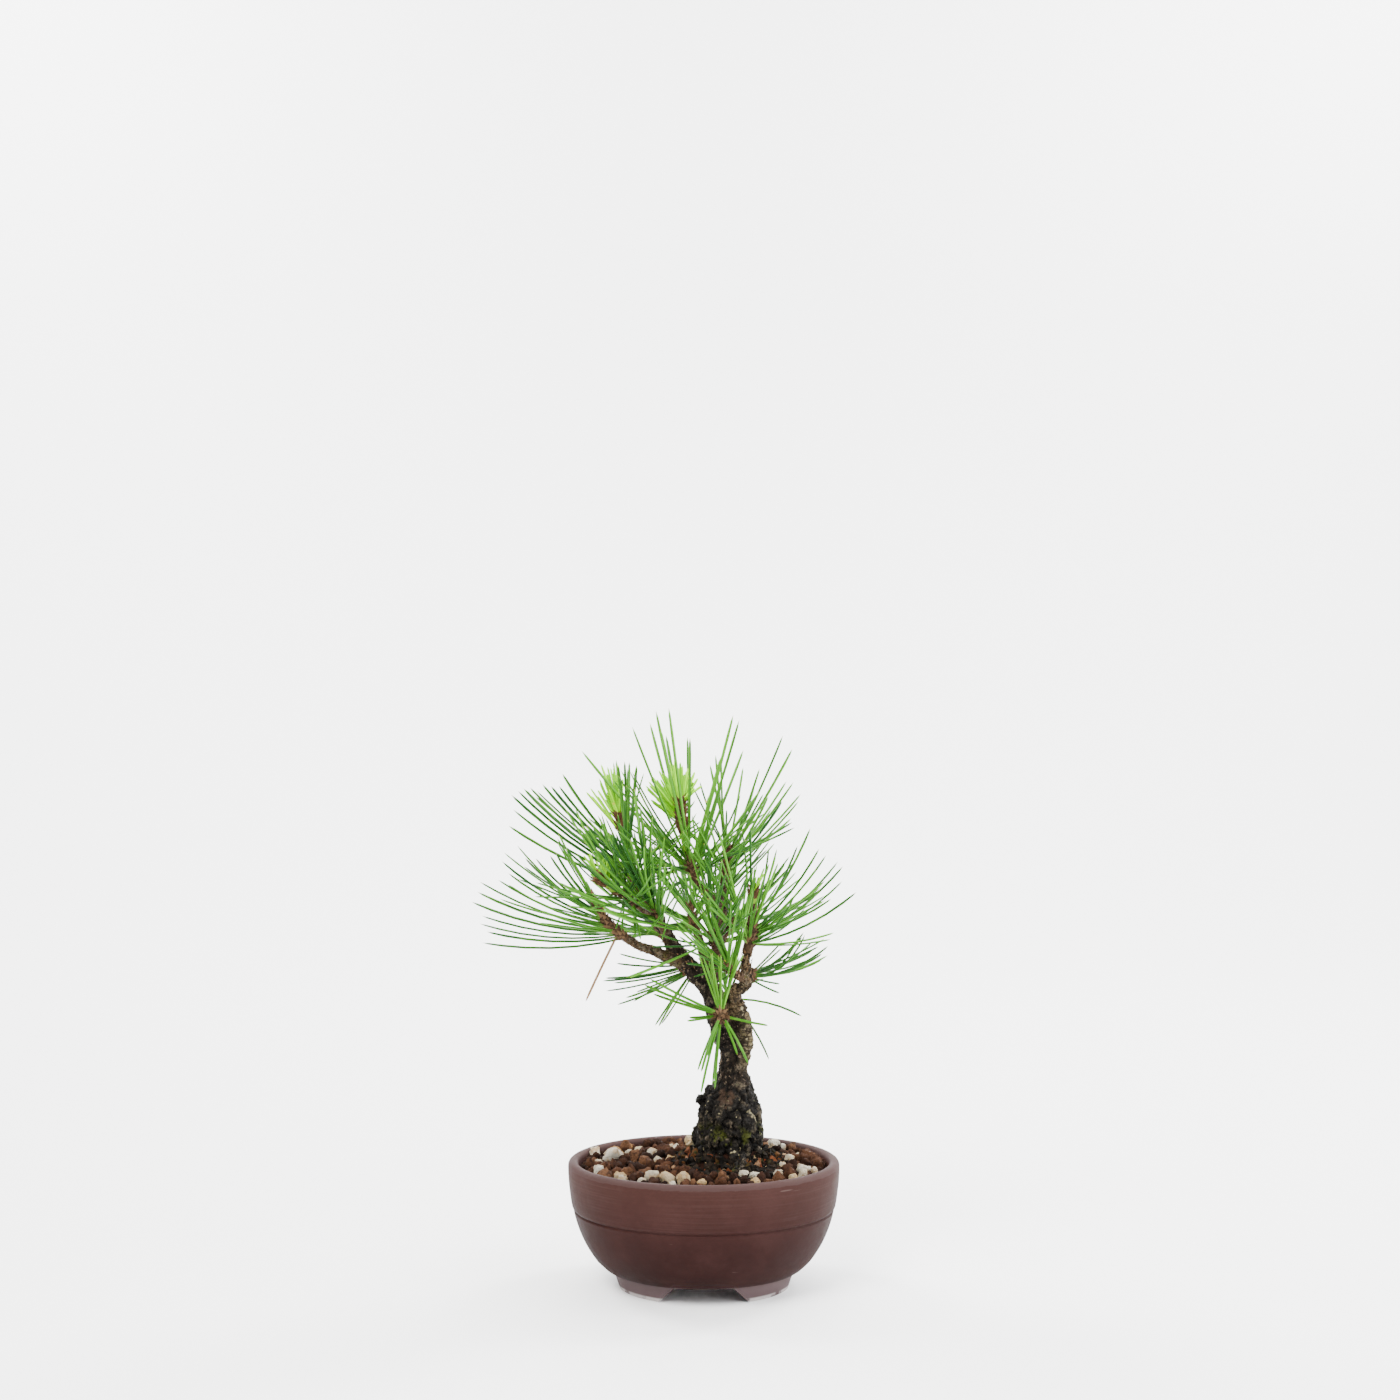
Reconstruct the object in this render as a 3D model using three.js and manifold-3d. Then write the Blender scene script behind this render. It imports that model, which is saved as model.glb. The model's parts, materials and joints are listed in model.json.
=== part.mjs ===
// A young black pine bonsai in an oval unglazed stoneware pot.
// Millimetres, +X right, +Y away from the viewer, +Z up. The middle of the pot is X = Y = 0, and
// its feet reach POT.footReach below Z = 0. The group as exported stands on Z = 0.
// The tree is one grown piece, the soil is one body with its grains in relief, and each
// shoot carries one spray: a slim shoot core with its needles, three-sided and at true size.
import * as THREE from 'three';
import { mergeVertices } from 'three/addons/utils/BufferGeometryUtils.js';
import Module from 'manifold-3d';

const wasm = await Module();
wasm.setup();

// ------------------------------------------------------------------ driving dimensions
const GAP = 0.35; // clear space between two pieces that touch on the real plant
const WELD = 1e-4; // corners closer than this are one corner
const CRUMB = 0.004; // edges and slivers smaller than this are taken out
const FULL_TURN = 2 * Math.PI;
const GOLDEN_ANGLE = Math.PI * (3 - Math.sqrt(5));
const RAD = Math.PI / 180;
// Multiples of these two shares of 1 never bunch up, so they spread the needles evenly.
const GOLDEN_SHARE = 0.618034;
const PLASTIC_SHARE = 0.754878;
const HALF_OF_TRIANGLE = 1 / Math.sqrt(3); // corner distance from the middle, over the side

const POT = {
  depthRatio: 0.79, // depth over width of the oval
  height: 53.6,
  lip: 4.5, // width of the flat rim
  floorTop: 10.5, // inside floor
  footHeight: 5.5, // the underside of the bowl
  footReach: 2.3, // the feet stand this far below Z = 0
  footHalfWidth: 39, // outside of the foot ring where it stands
  footSplay: 2, // the foot ring is wider by this where it meets the bowl
  footBand: 7.5, // thickness of the foot ring
  footSunk: 1.5, // depth of the foot ring inside the wall of the bowl
  frontGap: { bottom: 39.5, top: 24.5 }, // opening between the feet, front and back
  sideGap: { bottom: 19, top: 11 }, // opening between the feet at the two ends
  drainX: 18,
  drainRadius: 5,
  sides: 40,
};
// Outer half width of the bowl at each height, from the foot to just under the rim.
// The step in at 32 mm is the groove that runs round the bowl.
const BOWL = [
  [5.5, 43.6], [8.4, 46.8], [12.4, 50.3], [17.5, 53.4], [24, 56.4],
  [31.2, 58.5], [32, 57.8], [32.8, 58.9], [43, 60.6], [51, 61],
];
// Half width of the inside of the bowl at each height, from its floor to the rim.
const HOLLOW = [[10.5, 40], [14, 45.2], [22, 50.4], [35, 54.4], [52.6, 56.4]];

const SOIL = {
  edgeHeight: 50.6, // where it meets the wall of the pot
  mound: 3.2, // extra height round the foot of the tree
  moundSpread: 24,
  heap: 6.4, // extra height of the litter that is heaped against the trunk
  heapFrom: 14, // distance from the middle of the trunk at which it starts to fall away
  heapSpread: 6.5,
  bareRadius: 20, // no large grains this close to the middle of the trunk
  grains: 92,
  grainSize: [6, 9.6],
  grainSunk: 0.3, // share of a grain's height below the surface
  grainWidth: [0.7, 0.95], // over its length
  grainHeight: [0.6, 0.85], // over its length
  grainRoll: 0.6, // radians that the facets are turned by
  grainTilt: 0.45, // radians either way that a grain tips
  seed: 4021,
  sides: 32,
};

const SCREEN = { side: 14, thickness: 1, pitch: 3.4, hole: 2.3, lift: 0.3 };
const WIRE = { radius: 0.5, leg: 3.4, reach: 5.4, below: 4.55, bend: 0.9, sides: 6 };

const TRUNK = { x: 10.9, y: 2, sides: 12 };
const BARK_DEPTH = { plates: 0.055, rings: 0.05 }; // relief over the radius of the limb
const NEEDLE = {
  width: 1.25, // across the three-sided needle
  root: 0.55, // thickness where it leaves the shoot, over its full thickness
  seat: 0.35, // how far off the middle of the shoot it starts, over the shoot's radius
  kink: 0.58, // share of its length where the one bend lies
  clear: 0.35, // space kept to the needles and wood of every other piece
  tries: 160,
  jitter: [6, 22], // degrees off its place in the fan, at the first try and at the last
  tipJitter: 1.6, // the same for the tilt of a needle whose tip is given, over the jitter
};

// The eye from which the places of the outer needle tips are given. It is level and faces +Y.
const EYE = { x: -1.7, distance: 830, height: 259.9 };

const COLOURS = {
  stoneware: { color: 0x5b4340, roughness: 0.72, metalness: 0 },
  soil: { color: 0x6b4231, roughness: 0.95, metalness: 0 },
  bark: { color: 0x3a2c22, roughness: 0.9, metalness: 0 },
  needle: { color: 0x3f7f2c, roughness: 0.45, metalness: 0 },
  paleNeedle: { color: 0x63a83c, roughness: 0.45, metalness: 0 },
  youngNeedle: { color: 0x9ad23c, roughness: 0.45, metalness: 0 },
  netting: { color: 0x2e3a30, roughness: 0.6, metalness: 0 },
  wire: { color: 0x8d7a66, roughness: 0.4, metalness: 1 },
};

// ------------------------------------------------------------------ small helpers
const v3 = (x, y, z) => new THREE.Vector3(x, y, z);
const lerp = (a, b, t) => a + (b - a) * t;
const fraction = (x) => x - Math.floor(x);

/** Repeatable random numbers from 0 to 1. */
function seeded(seed) {
  let state = seed >>> 0;
  return () => {
    state = (state + 0x6d2b79f5) >>> 0;
    let t = state;
    t = Math.imul(t ^ (t >>> 15), t | 1);
    t ^= t + Math.imul(t ^ (t >>> 7), t | 61);
    return ((t ^ (t >>> 14)) >>> 0) / 4294967296;
  };
}

/** The geometry's shape alone: corners merged, no triangle that has lost its area. */
function welded(geometry) {
  const bare = geometry.clone();
  bare.deleteAttribute('normal');
  bare.deleteAttribute('uv');
  const merged = mergeVertices(bare, WELD);
  const index = merged.index.array;
  const kept = [];
  for (let i = 0; i < index.length; i += 3) {
    const [a, b, c] = [index[i], index[i + 1], index[i + 2]];
    if (a !== b && b !== c && c !== a) kept.push(a, b, c);
  }
  merged.setIndex(kept);
  return merged;
}

function solid(geometry) {
  const shape = welded(geometry);
  return new wasm.Manifold(new wasm.Mesh({
    numProp: 3,
    vertProperties: Float32Array.from(shape.attributes.position.array),
    triVerts: Uint32Array.from(shape.index.array),
  }));
}

function geometryOf(shape) {
  const { vertProperties, triVerts } = shape.getMesh();
  const geometry = new THREE.BufferGeometry();
  geometry.setAttribute('position', new THREE.BufferAttribute(Float32Array.from(vertProperties), 3));
  geometry.setIndex(Array.from(triVerts));
  geometry.computeVertexNormals();
  return geometry;
}

/** The largest closed skin alone: crumbs dropped, and hollows that a join has sealed filled. */
function wholeBody(shape) {
  const [largest] = shape.decompose().sort((a, b) => b.volume() - a.volume());
  return largest.simplify(CRUMB);
}

function named(name, shape, look) {
  const mesh = new THREE.Mesh(geometryOf(shape), new THREE.MeshStandardMaterial(look));
  mesh.name = name;
  return mesh;
}

/** An oval turned shape: a lathe profile of {r, z, inset}, squeezed to the pot's oval.
 *  inset is how far the point lies inside the outer wall, so that walls keep their thickness. */
function ovalTurned(profile, sides) {
  const lathe = new THREE.LatheGeometry(profile.map((p) => new THREE.Vector2(p.r, p.z)), sides);
  const position = lathe.attributes.position;
  for (let i = 0; i < position.count; i++) {
    const { r, z, inset = 0 } = profile[i % profile.length];
    const turn = (Math.floor(i / profile.length) % sides) / sides * FULL_TURN;
    const halfDepth = (r + inset) * POT.depthRatio - inset;
    position.setXYZ(i, r * Math.cos(turn), halfDepth * Math.sin(turn), z);
  }
  return lathe;
}

const curveThrough = (points) => new THREE.CatmullRomCurve3(
  points.map(([x, y, z]) => v3(x, y, z)), false, 'centripetal');

/** A tapering round limb through points [x, y, z, radius], closed at both ends.
 *  relief(turn, z, radius) is added to the radius, and grow widens and lengthens it all over.
 *  startAlong turns the first end square to that direction. */
function limb(points, { sides = 8, perSpan = 2, relief = () => 0, grow = 0, startAlong = null } = {}) {
  const curve = curveThrough(points);
  const steps = (points.length - 1) * perSpan;
  const rings = [];
  let side = null;
  for (let k = 0; k <= steps; k++) {
    const t = k / steps;
    const along = k === 0 && startAlong ? startAlong.clone() : curve.getTangent(t);
    if (!side) side = Math.abs(along.x) < 0.9 ? v3(1, 0, 0) : v3(0, 1, 0);
    side = side.clone().addScaledVector(along, -side.dot(along)).normalize();
    const span = Math.min(Math.floor(t * (points.length - 1)), points.length - 2);
    const radius = lerp(points[span][3], points[span + 1][3], t * (points.length - 1) - span);
    const end = k === 0 ? -grow : k === steps ? grow : 0;
    const centre = curve.getPoint(t).addScaledVector(along, end);
    rings.push({ centre, radius, side, across: side.clone().cross(along) });
  }
  const tube = new THREE.CylinderGeometry(1, 1, 1, sides, steps);
  const position = tube.attributes.position;
  for (let i = 0; i < position.count; i++) {
    const [x, y, z] = [position.getX(i), position.getY(i), position.getZ(i)];
    const ring = rings[Math.round((y + 0.5) * steps)];
    const turn = Math.atan2(z, x);
    const onRim = Math.hypot(x, z) > 0.5 && ring.radius > 0;
    const reach = onRim ? ring.radius + relief(turn, ring.centre.z, ring.radius) + grow : 0;
    const at = ring.centre.clone()
      .addScaledVector(ring.side, reach * Math.cos(turn))
      .addScaledVector(ring.across, reach * Math.sin(turn));
    position.setXYZ(i, at.x, at.y, at.z);
  }
  return tube;
}

/** A flat outline in X and Z, pushed through along Y from -half to +half. */
function barAlongY(outline, half) {
  const shape = new THREE.Shape(outline.map(([x, z]) => new THREE.Vector2(x, z)));
  const bar = new THREE.ExtrudeGeometry(shape, { depth: 2 * half, bevelEnabled: false });
  return bar.rotateX(Math.PI / 2).translate(0, half, 0);
}

// ------------------------------------------------------------------ pot
function makePot() {
  const { lip, height, floorTop, footHeight, footHalfWidth, footSplay, footBand } = POT;
  const outer = BOWL.map(([z, r]) => ({ r, z }));
  const rim = [
    { r: 60.5, z: height - 0.8, inset: 0.4 },
    { r: 59.4, z: height, inset: 1.4 },
    { r: 57.6, z: height, inset: lip - 1.2 },
  ];
  const inner = HOLLOW.slice().reverse().map(([z, r]) => ({ r, z, inset: lip }));
  const bowl = solid(ovalTurned([
    { r: 0, z: footHeight }, ...outer, ...rim, ...inner, { r: 0, z: floorTop },
  ], POT.sides));

  // The foot ring leans a little inward as it goes down, and its top is sunk in the bowl.
  const ringInside = footHalfWidth - footBand;
  const ringTop = footHeight + POT.footSunk;
  const ground = -POT.footReach;
  const ring = solid(ovalTurned([
    { r: ringInside, z: ground, inset: footBand },
    { r: footHalfWidth - 0.5, z: ground },
    { r: footHalfWidth, z: ground + 0.5 },
    { r: footHalfWidth + footSplay, z: footHeight },
    { r: footHalfWidth + footSplay, z: ringTop },
    { r: ringInside, z: ringTop, inset: footBand },
    { r: ringInside, z: ground, inset: footBand },
  ], POT.sides));

  const opening = ({ bottom, top }) => [
    [-bottom / 2, ground - 1], [bottom / 2, ground - 1], [bottom / 2, ground], [top / 2, footHeight],
    [-top / 2, footHeight], [-bottom / 2, ground],
  ];
  const reach = BOWL[0][1] + 5;
  const frontAndBack = solid(barAlongY(opening(POT.frontGap), reach));
  const ends = solid(barAlongY(opening(POT.sideGap), reach).rotateZ(Math.PI / 2));
  let pot = ring.subtract(frontAndBack).subtract(ends).add(bowl);
  for (const side of [-1, 1]) {
    const drain = new THREE.CylinderGeometry(POT.drainRadius, POT.drainRadius, 8, 20)
      .rotateX(Math.PI / 2).translate(side * POT.drainX, 0, footHeight + 2.5);
    pot = pot.subtract(solid(drain));
  }
  return pot;
}

// ------------------------------------------------------------------ drain screens and their wires
function makeScreen(x) {
  const middle = POT.floorTop + SCREEN.lift + SCREEN.thickness / 2;
  const block = (side, height, dx, dy) => solid(
    new THREE.BoxGeometry(side, side, height).translate(x + dx, dy, middle));
  let net = block(SCREEN.side, SCREEN.thickness, 0, 0);
  for (const column of [-1, 0, 1]) {
    for (const row of [-1, 0, 1]) {
      net = net.subtract(block(SCREEN.hole, 2 * SCREEN.thickness, column * SCREEN.pitch, row * SCREEN.pitch));
    }
  }
  return net;
}

function wireTop() {
  return POT.floorTop + 2 * SCREEN.lift + SCREEN.thickness + WIRE.radius;
}

/** One staple of wire: over the screen, down through the drain hole and out under the pot. */
function makeWire(x) {
  const { leg, reach, below, bend, radius } = WIRE;
  const top = wireTop();
  const half = [[leg + reach, below], [leg + bend, below], [leg, below + bend], [leg, top - bend],
    [leg - bend, top]];
  const route = [...half, ...half.slice().reverse().map(([dx, z]) => [-dx, z])];
  return solid(limb(route.map(([dx, z]) => [x + dx, 0, z, radius]), { sides: WIRE.sides, perSpan: 1 }));
}

// ------------------------------------------------------------------ trunk, roots and branches
// Every limb is a list of [x, y, z, radius]; its first point lies inside the wood it grows from.
const MAIN_STEM = [
  [10.9, 2, 43, 12.5], [10.8, 2, 50.7, 15.2], [10.8, 2, 58, 15.3], [11.4, 2, 67, 15.2],
  [11.8, 2, 73, 14.5], [12.1, 2, 78.5, 13.2], [12.5, 2, 83.6, 11.2], [12.9, 2, 88, 8.8],
  [13.2, 2, 92.5, 7.0], [13.2, 2, 98, 6.0], [12.2, 2, 104, 5.7], [9.6, 1.6, 110, 6.1],
  [7.6, 1, 116, 5.9], [6.0, 0, 123.5, 5.5], [1.8, -1, 130.8, 5.0], [-2.6, -2, 136.6, 4.5],
  [-8.5, -2, 142.7, 4.0], [-13.5, -2, 149, 3.5], [-17.6, -2, 156.2, 2.8], [-22.5, -1, 163.8, 2.3],
  [-28.2, 0, 171.4, 2.0],
];
const TAN_LIMB = [
  [12.9, 0, 90, 4.6], [15.2, -1, 95.4, 4.7], [17.2, -1, 100.4, 4.5], [18.2, -1, 106, 4.1],
  [18.3, -1, 112, 3.9], [16.6, -1, 118.6, 3.8], [14.4, -2, 124.6, 3.4], [13.9, -3, 128.4, 3.1],
  [19.2, -4, 133.8, 2.8], [18.9, -4, 140.2, 2.7], [19.8, -4, 148.8, 2.4],
];
const CENTRE_LIMB = [
  [2.6, -1, 131, 3.6], [4.0, 1, 136.2, 3.3], [6.8, 3, 147.6, 2.8], [7.3, 4, 156.4, 2.5],
  [8.0, 5, 166.2, 2.2], [3.4, 4, 170.8, 2.0], [-0.4, 3, 174.6, 1.9], [-3, 2.3, 178, 1.9],
];
const BACK_LIMB = [
  [1.5, 0, 131, 3.2], [1.2, 6, 138, 2.6], [-0.6, 11.4, 146, 2.2], [-2.6, 14.6, 152, 1.9],
];
const LIMBS = [TAN_LIMB, CENTRE_LIMB, BACK_LIMB];
const KNOB = { x: -0.8, y: -1, z: 80.6, size: [3.6, 3.8, 3.0] };
// Root flares: direction seen from above in degrees (-90 is to the front), reach and thickness.
const ROOTS = [
  { turn: -76, reach: 27, thick: 6.0 }, { turn: -128, reach: 21, thick: 4.6 },
  { turn: 172, reach: 24, thick: 5.2 }, { turn: 116, reach: 22, thick: 4.8 },
  { turn: 48, reach: 23, thick: 5.0 }, { turn: -18, reach: 22, thick: 4.4 },
];

/** Broken plates of old bark: strong at the foot of the trunk, fading out up the tree. */
function barkRelief(turn, z, radius) {
  const plates = Math.sin(5 * turn + 2.1 * Math.sin(z / 6.3)) * Math.sin(z / 2.3 + 2.2 * Math.sin(2 * turn));
  const ridges = 0.5 * Math.sin(9 * turn + z / 3.1);
  return radius * BARK_DEPTH.plates * (plates + ridges);
}

/** The ringed bark of the limb that leaves the trunk on the right. */
function ringedRelief(turn, z, radius) {
  return radius * BARK_DEPTH.rings * Math.sin(z * 1.9 + turn);
}

function rootPoints({ turn, reach, thick }) {
  const at = (out, z, r) => [
    TRUNK.x + out * Math.cos(turn * RAD), TRUNK.y + out * Math.sin(turn * RAD), z, r,
  ];
  return [at(6, 60, thick * 0.8), at(12, 55.5, thick), at(reach * 0.76, 50.5, thick * 0.72),
    at(reach, 46.5, thick * 0.4)];
}

function makeTree(grow = 0) {
  const parts = [
    solid(limb(MAIN_STEM, { sides: TRUNK.sides, relief: barkRelief, grow })),
    ...ROOTS.map((root) => solid(limb(rootPoints(root), { sides: 7, perSpan: 1, grow }))),
  ];
  if (grow === 0) {
    const knob = new THREE.IcosahedronGeometry(1, 0).scale(...KNOB.size).translate(KNOB.x, KNOB.y, KNOB.z);
    parts.push(solid(knob));
    parts.push(...LIMBS.map((points) => solid(limb(points, { perSpan: 1, relief: ringedRelief }))));
    parts.push(...SHOOTS.filter(({ twig }) => twig)
      .map(({ twig }) => solid(limb(twig, { sides: 7, perSpan: 1 }))));
  }
  return wholeBody(wasm.Manifold.union(parts));
}

// ------------------------------------------------------------------ shoots and their needles
// twig: wood that carries the shoot, part of the tree. core: the needle-bearing shoot itself.
// A fan is a group of needles: how many, alpha = direction in the front view (0 right, 90 up,
// 180 left), delta = tilt away from the viewer, length, and along = where on the core they root.
// A fan with tips has one needle to each tip, whose X and Z are as EYE sees them on Y = 0. They
// root along the core in the order in which they stand.
const SHOOTS = [
  {
    name: 'left_low',
    twig: [[-9.5, -2.6, 142.6, 2.9], [-15.2, -3.2, 143.9, 2.6], [-21.5, -4, 147.3, 2.3],
      [-29, -5, 150, 2.0], [-34.3, -5.2, 153.2, 1.9]],
    core: [[-39, -5.8, 156.6, 1.9], [-43.4, -6.6, 161.4, 1.8], [-47.2, -7.4, 167, 1.6],
      [-50.4, -8, 173.6, 1.1]],
    fans: [
      {
        tips: [[-99.1, 150.9], [-97.1, 155.8], [-100.3, 159.4], [-99.3, 162.9], [-104, 169.2],
          [-101.3, 173.6], [-100.3, 178.2], [-92, 179], [-87.4, 181.9], [-90.3, 187.2], [-80, 188.7],
          [-75.2, 188.5], [-68.8, 189.7], [-66.1, 190.7]],
        delta: [-24, 24], bow: 0.22, along: [0, 0.75],
      },
      { count: 7, alpha: [172, 108], delta: [-66, 66], length: [46, 58], bow: 0.12, along: [0.2, 0.8] },
      { count: 1, alpha: [250, 246], delta: [0, 0], length: [25, 26], bow: -0.05, along: [0.2, 0.2] },
    ],
  },
  {
    name: 'left_mid',
    twig: [[-22, -1.5, 163.2, 1.7], [-28, -5, 167, 1.6]],
    core: [[-32, -8, 170.4, 1.6], [-36, -11.5, 173.4, 1.5], [-39.6, -14, 175.6, 1.2]],
    fans: [
      { count: 10, alpha: [176, 50], delta: [-70, -8], length: [38, 54], bow: 0.12, along: [0.3, 0.9] },
      { count: 3, alpha: [286, 258], delta: [-40, -5], length: [14, 19], bow: -0.05, along: [0.2, 0.7] },
    ],
  },
  {
    name: 'upper_left',
    twig: [[-26.5, 0, 169.5, 1.8], [-29.6, 0.8, 174.6, 1.7]],
    core: [[-31.4, 1.3, 179.4, 1.7], [-34, 2.2, 187, 1.7], [-35, 3, 192.6, 1.5]],
    fans: [
      {
        tips: [[-87.4, 203.3], [-85.3, 210.5], [-86.2, 217.1], [-83.2, 218.9], [-80.8, 220.1],
          [-77.8, 220.4], [-72.3, 221.9], [-68.4, 221], [-64.8, 221], [-63.3, 226.5]],
        delta: [-26, 26], bow: 0.18, along: [0.1, 0.9],
      },
      {
        tips: [[-38.6, 230.4], [-35.6, 231.9], [-33.5, 231.6], [-30.2, 230.1], [-27, 229]],
        delta: [-24, 24], bow: 0.04, along: [0.5, 0.95],
      },
      { count: 5, alpha: [150, 60], delta: [-64, 64], length: [46, 58], bow: 0.1, along: [0.3, 0.9] },
      { count: 3, alpha: [58, 18], delta: [-40, 60], length: [38, 50], bow: 0.15, along: [0.25, 0.8] },
    ],
  },
  {
    name: 'inner_left',
    twig: [[-16, -2, 153, 2.4], [-18, -6.4, 158, 2.0]],
    core: [[-19.6, -9, 161.8, 2.0], [-21.6, -11.4, 165.6, 1.8], [-23.6, -13.8, 169.6, 1.4]],
    fans: [
      { count: 12, alpha: [154, 84], delta: [-62, -4], length: [46, 60], bow: 0.12, along: [0.2, 0.95] },
    ],
  },
  {
    name: 'top',
    parent: CENTRE_LIMB,
    core: [[-5, 1.6, 182, 1.9], [-6.4, 0.9, 187, 1.9], [-7.6, 0.2, 192.6, 1.7]],
    fans: [
      {
        tips: [[-54.6, 236.7], [24.6, 218.3], [7.7, 222.4], [-32, 247.5], [17.6, 237], [-24.1, 249.1],
          [15.8, 250.5], [-21.4, 254.5], [13.1, 252.7], [-15.7, 256], [7.4, 233.4], [-19.3, 246.4],
          [-16.9, 243.6], [-7.3, 242.7], [-6.2, 242.4]],
        delta: [-26, 26], bow: 0.08, along: [0.1, 0.75],
      },
      { count: 7, alpha: [156, 112], delta: [-60, 54], length: [46, 60], bow: 0.16, along: [0.2, 0.7] },
      { count: 5, alpha: [60, 8], delta: [-60, 50], length: [42, 54], bow: 0.15, along: [0.2, 0.7] },
      { count: 4, alpha: [222, 180], delta: [-56, -12], length: [36, 48], bow: 0.05, along: [0.2, 0.7] },
    ],
  },
  {
    name: 'upper_right',
    twig: [[7.8, 4.6, 165.6, 1.8], [9.1, 6.6, 177, 1.7]],
    core: [[9.2, 8, 182.6, 1.7], [10.4, 9.8, 188.2, 1.6], [12.8, 11.6, 193.6, 1.3]],
    fans: [
      {
        tips: [[42.3, 214.1], [28.8, 216.2], [43.3, 217.4], [40, 222.6], [36.9, 223.1], [24.9, 228.6],
          [39.6, 237.6], [17.6, 229.2], [35.4, 243.6], [2.9, 230.4]],
        delta: [-28, 34], bow: 0.12, along: [0.1, 0.95],
      },
      { count: 5, alpha: [142, 84], delta: [-28, 62], length: [38, 50], bow: 0.08, along: [0.3, 0.9] },
      { count: 5, alpha: [74, 10], delta: [-10, 66], length: [36, 48], bow: 0.2, along: [0.2, 0.8] },
    ],
  },
  {
    name: 'right',
    parent: TAN_LIMB,
    core: [[21.2, -4, 155, 2.3], [21.8, -4.4, 161.4, 2.2], [22, -4.8, 168.8, 1.6]],
    fans: [
      {
        tips: [[57.1, 156.6], [68, 173.4], [61.6, 178.2], [62, 184.9], [59.8, 187], [54.4, 189.7],
          [51.4, 192.7], [41.8, 193.9], [47.5, 201.8], [20.8, 202.3]],
        delta: [-28, 28], bow: 0.24, along: [0, 0.6],
      },
      { count: 6, alpha: [132, 106], delta: [-46, -12], length: [50, 64], bow: 0.06, along: [0.05, 0.45] },
      { count: 4, alpha: [98, 64], delta: [-54, 54], length: [38, 50], bow: 0.1, along: [0.1, 0.5] },
      { count: 6, alpha: [56, 0], delta: [-64, 64], length: [38, 50], bow: 0.2, along: [0.05, 0.6] },
    ],
  },
  {
    name: 'right_low',
    twig: [[19.2, -3.5, 133.6, 1.9], [19.9, -1, 134.4, 1.7]],
    core: [[20.4, 1.2, 135.2, 1.6], [21.2, 3.4, 136.4, 1.4], [22.2, 5.6, 137.8, 1.2]],
    fans: [
      { tips: [[42.1, 153.6], [45.1, 154.5]], delta: [-6, 16], bow: 0.7, along: [0.2, 0.7] },
      {
        tips: [[33.7, 128.3], [33.7, 132.4], [48.1, 146.7], [51.1, 148.8], [54, 152.4]],
        delta: [-22, 26], bow: 0.12, along: [0.1, 0.95],
      },
      { count: 4, alpha: [36, 4], delta: [-30, 60], length: [28, 40], bow: 0.35, along: [0.3, 0.9] },
    ],
  },
  {
    name: 'centre',
    twig: [[6.4, 2.4, 146, 1.9], [5.6, -0.8, 148.4, 1.8]],
    core: [[4.8, -3.4, 151.2, 1.7], [4, -6, 154.4, 1.5], [3.2, -8.6, 158, 1.2]],
    fans: [
      { count: 10, alpha: [134, 58], delta: [-64, -2], length: [44, 58], bow: 0.1, along: [0.3, 0.95] },
      { count: 3, alpha: [205, 150], delta: [-56, -12], length: [34, 46], bow: 0.05, along: [0.3, 0.8] },
    ],
  },
  {
    name: 'middle',
    twig: [[18.4, -4.5, 135.2, 2.2], [15.6, -8.4, 137, 2.0]],
    core: [[13.8, -10.6, 138.4, 1.9], [11.6, -13, 140.4, 1.7], [9.6, -15, 143, 1.3]],
    fans: [
      {
        tips: [[3.2, 131.3], [-7.3, 141.2], [-4, 135.4]],
        delta: [-20, 4], bow: -0.1, along: [0.2, 0.8],
      },
      { count: 9, alpha: [146, 72], delta: [-46, -2], length: [34, 50], bow: 0.1, along: [0.25, 0.95] },
    ],
  },
  {
    name: 'trunk_front',
    look: 'paleNeedle',
    twig: [[7.4, 0, 119.4, 2.5], [7.6, -5.8, 119.4, 2.2]],
    core: [[7.6, -8.6, 119.6, 2.1], [7.6, -11, 120.2, 1.9], [7.6, -13.4, 121.2, 1.5]],
    fans: [
      {
        tips: [[-2.4, 93.7], [-1.1, 83.3], [4.1, 87.5], [14.8, 100.9], [5, 85.4], [19.6, 96.8],
          [-0.9, 93], [2, 100.2]],
        delta: [-20, -2], bow: -0.2, along: [0.3, 0.95],
      },
      {
        tips: [[-6.9, 115.7], [28.3, 113.7], [-5.9, 117.1], [-22.3, 127.6], [-26.4, 131.7],
          [-23.8, 134.3]],
        delta: [-24, -2], bow: 0.06, along: [0.2, 0.9],
      },
      { count: 6, alpha: [112, 74], delta: [-44, -8], length: [26, 38], bow: 0.02, along: [0.3, 0.95] },
    ],
  },
  {
    name: 'lower_left',
    twig: [[-1, 0, 134, 2.2], [-3.6, 4.6, 135.6, 2.0]],
    core: [[-6, 8, 136.8, 1.8], [-9, 11.2, 138.2, 1.6], [-12, 14, 139.6, 1.2]],
    fans: [
      {
        tips: [[-19, 110.2], [-18.7, 114.7], [-38.6, 123.1], [-34.7, 126.2], [-43.7, 129.2],
          [-40.1, 132.8], [-45.2, 133.7], [-44, 134.9], [-38.9, 141.5], [-37.7, 145.8]],
        delta: [-14, 34], bow: 0.12, along: [0, 0.95],
      },
      { count: 2, alpha: [208, 236], delta: [-20, 50], length: [24, 32], bow: -0.05, along: [0.2, 0.9] },
    ],
  },
  {
    name: 'trunk_back',
    twig: [[7.4, 1.6, 121.4, 2.3], [9, 6.4, 122.4, 2.0]],
    core: [[10, 8.8, 123.2, 1.9], [11, 11.2, 124.2, 1.7], [12, 13.6, 125.8, 1.4]],
    fans: [
      { tips: [[43.6, 117.5], [29, 98.3]], delta: [-4, 20], bow: -0.3, along: [0.3, 0.8] },
      { count: 8, alpha: [165, 20], delta: [14, 66], length: [26, 38], bow: 0.05, along: [0.3, 0.95] },
    ],
  },
  {
    name: 'back_top',
    parent: BACK_LIMB,
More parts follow.
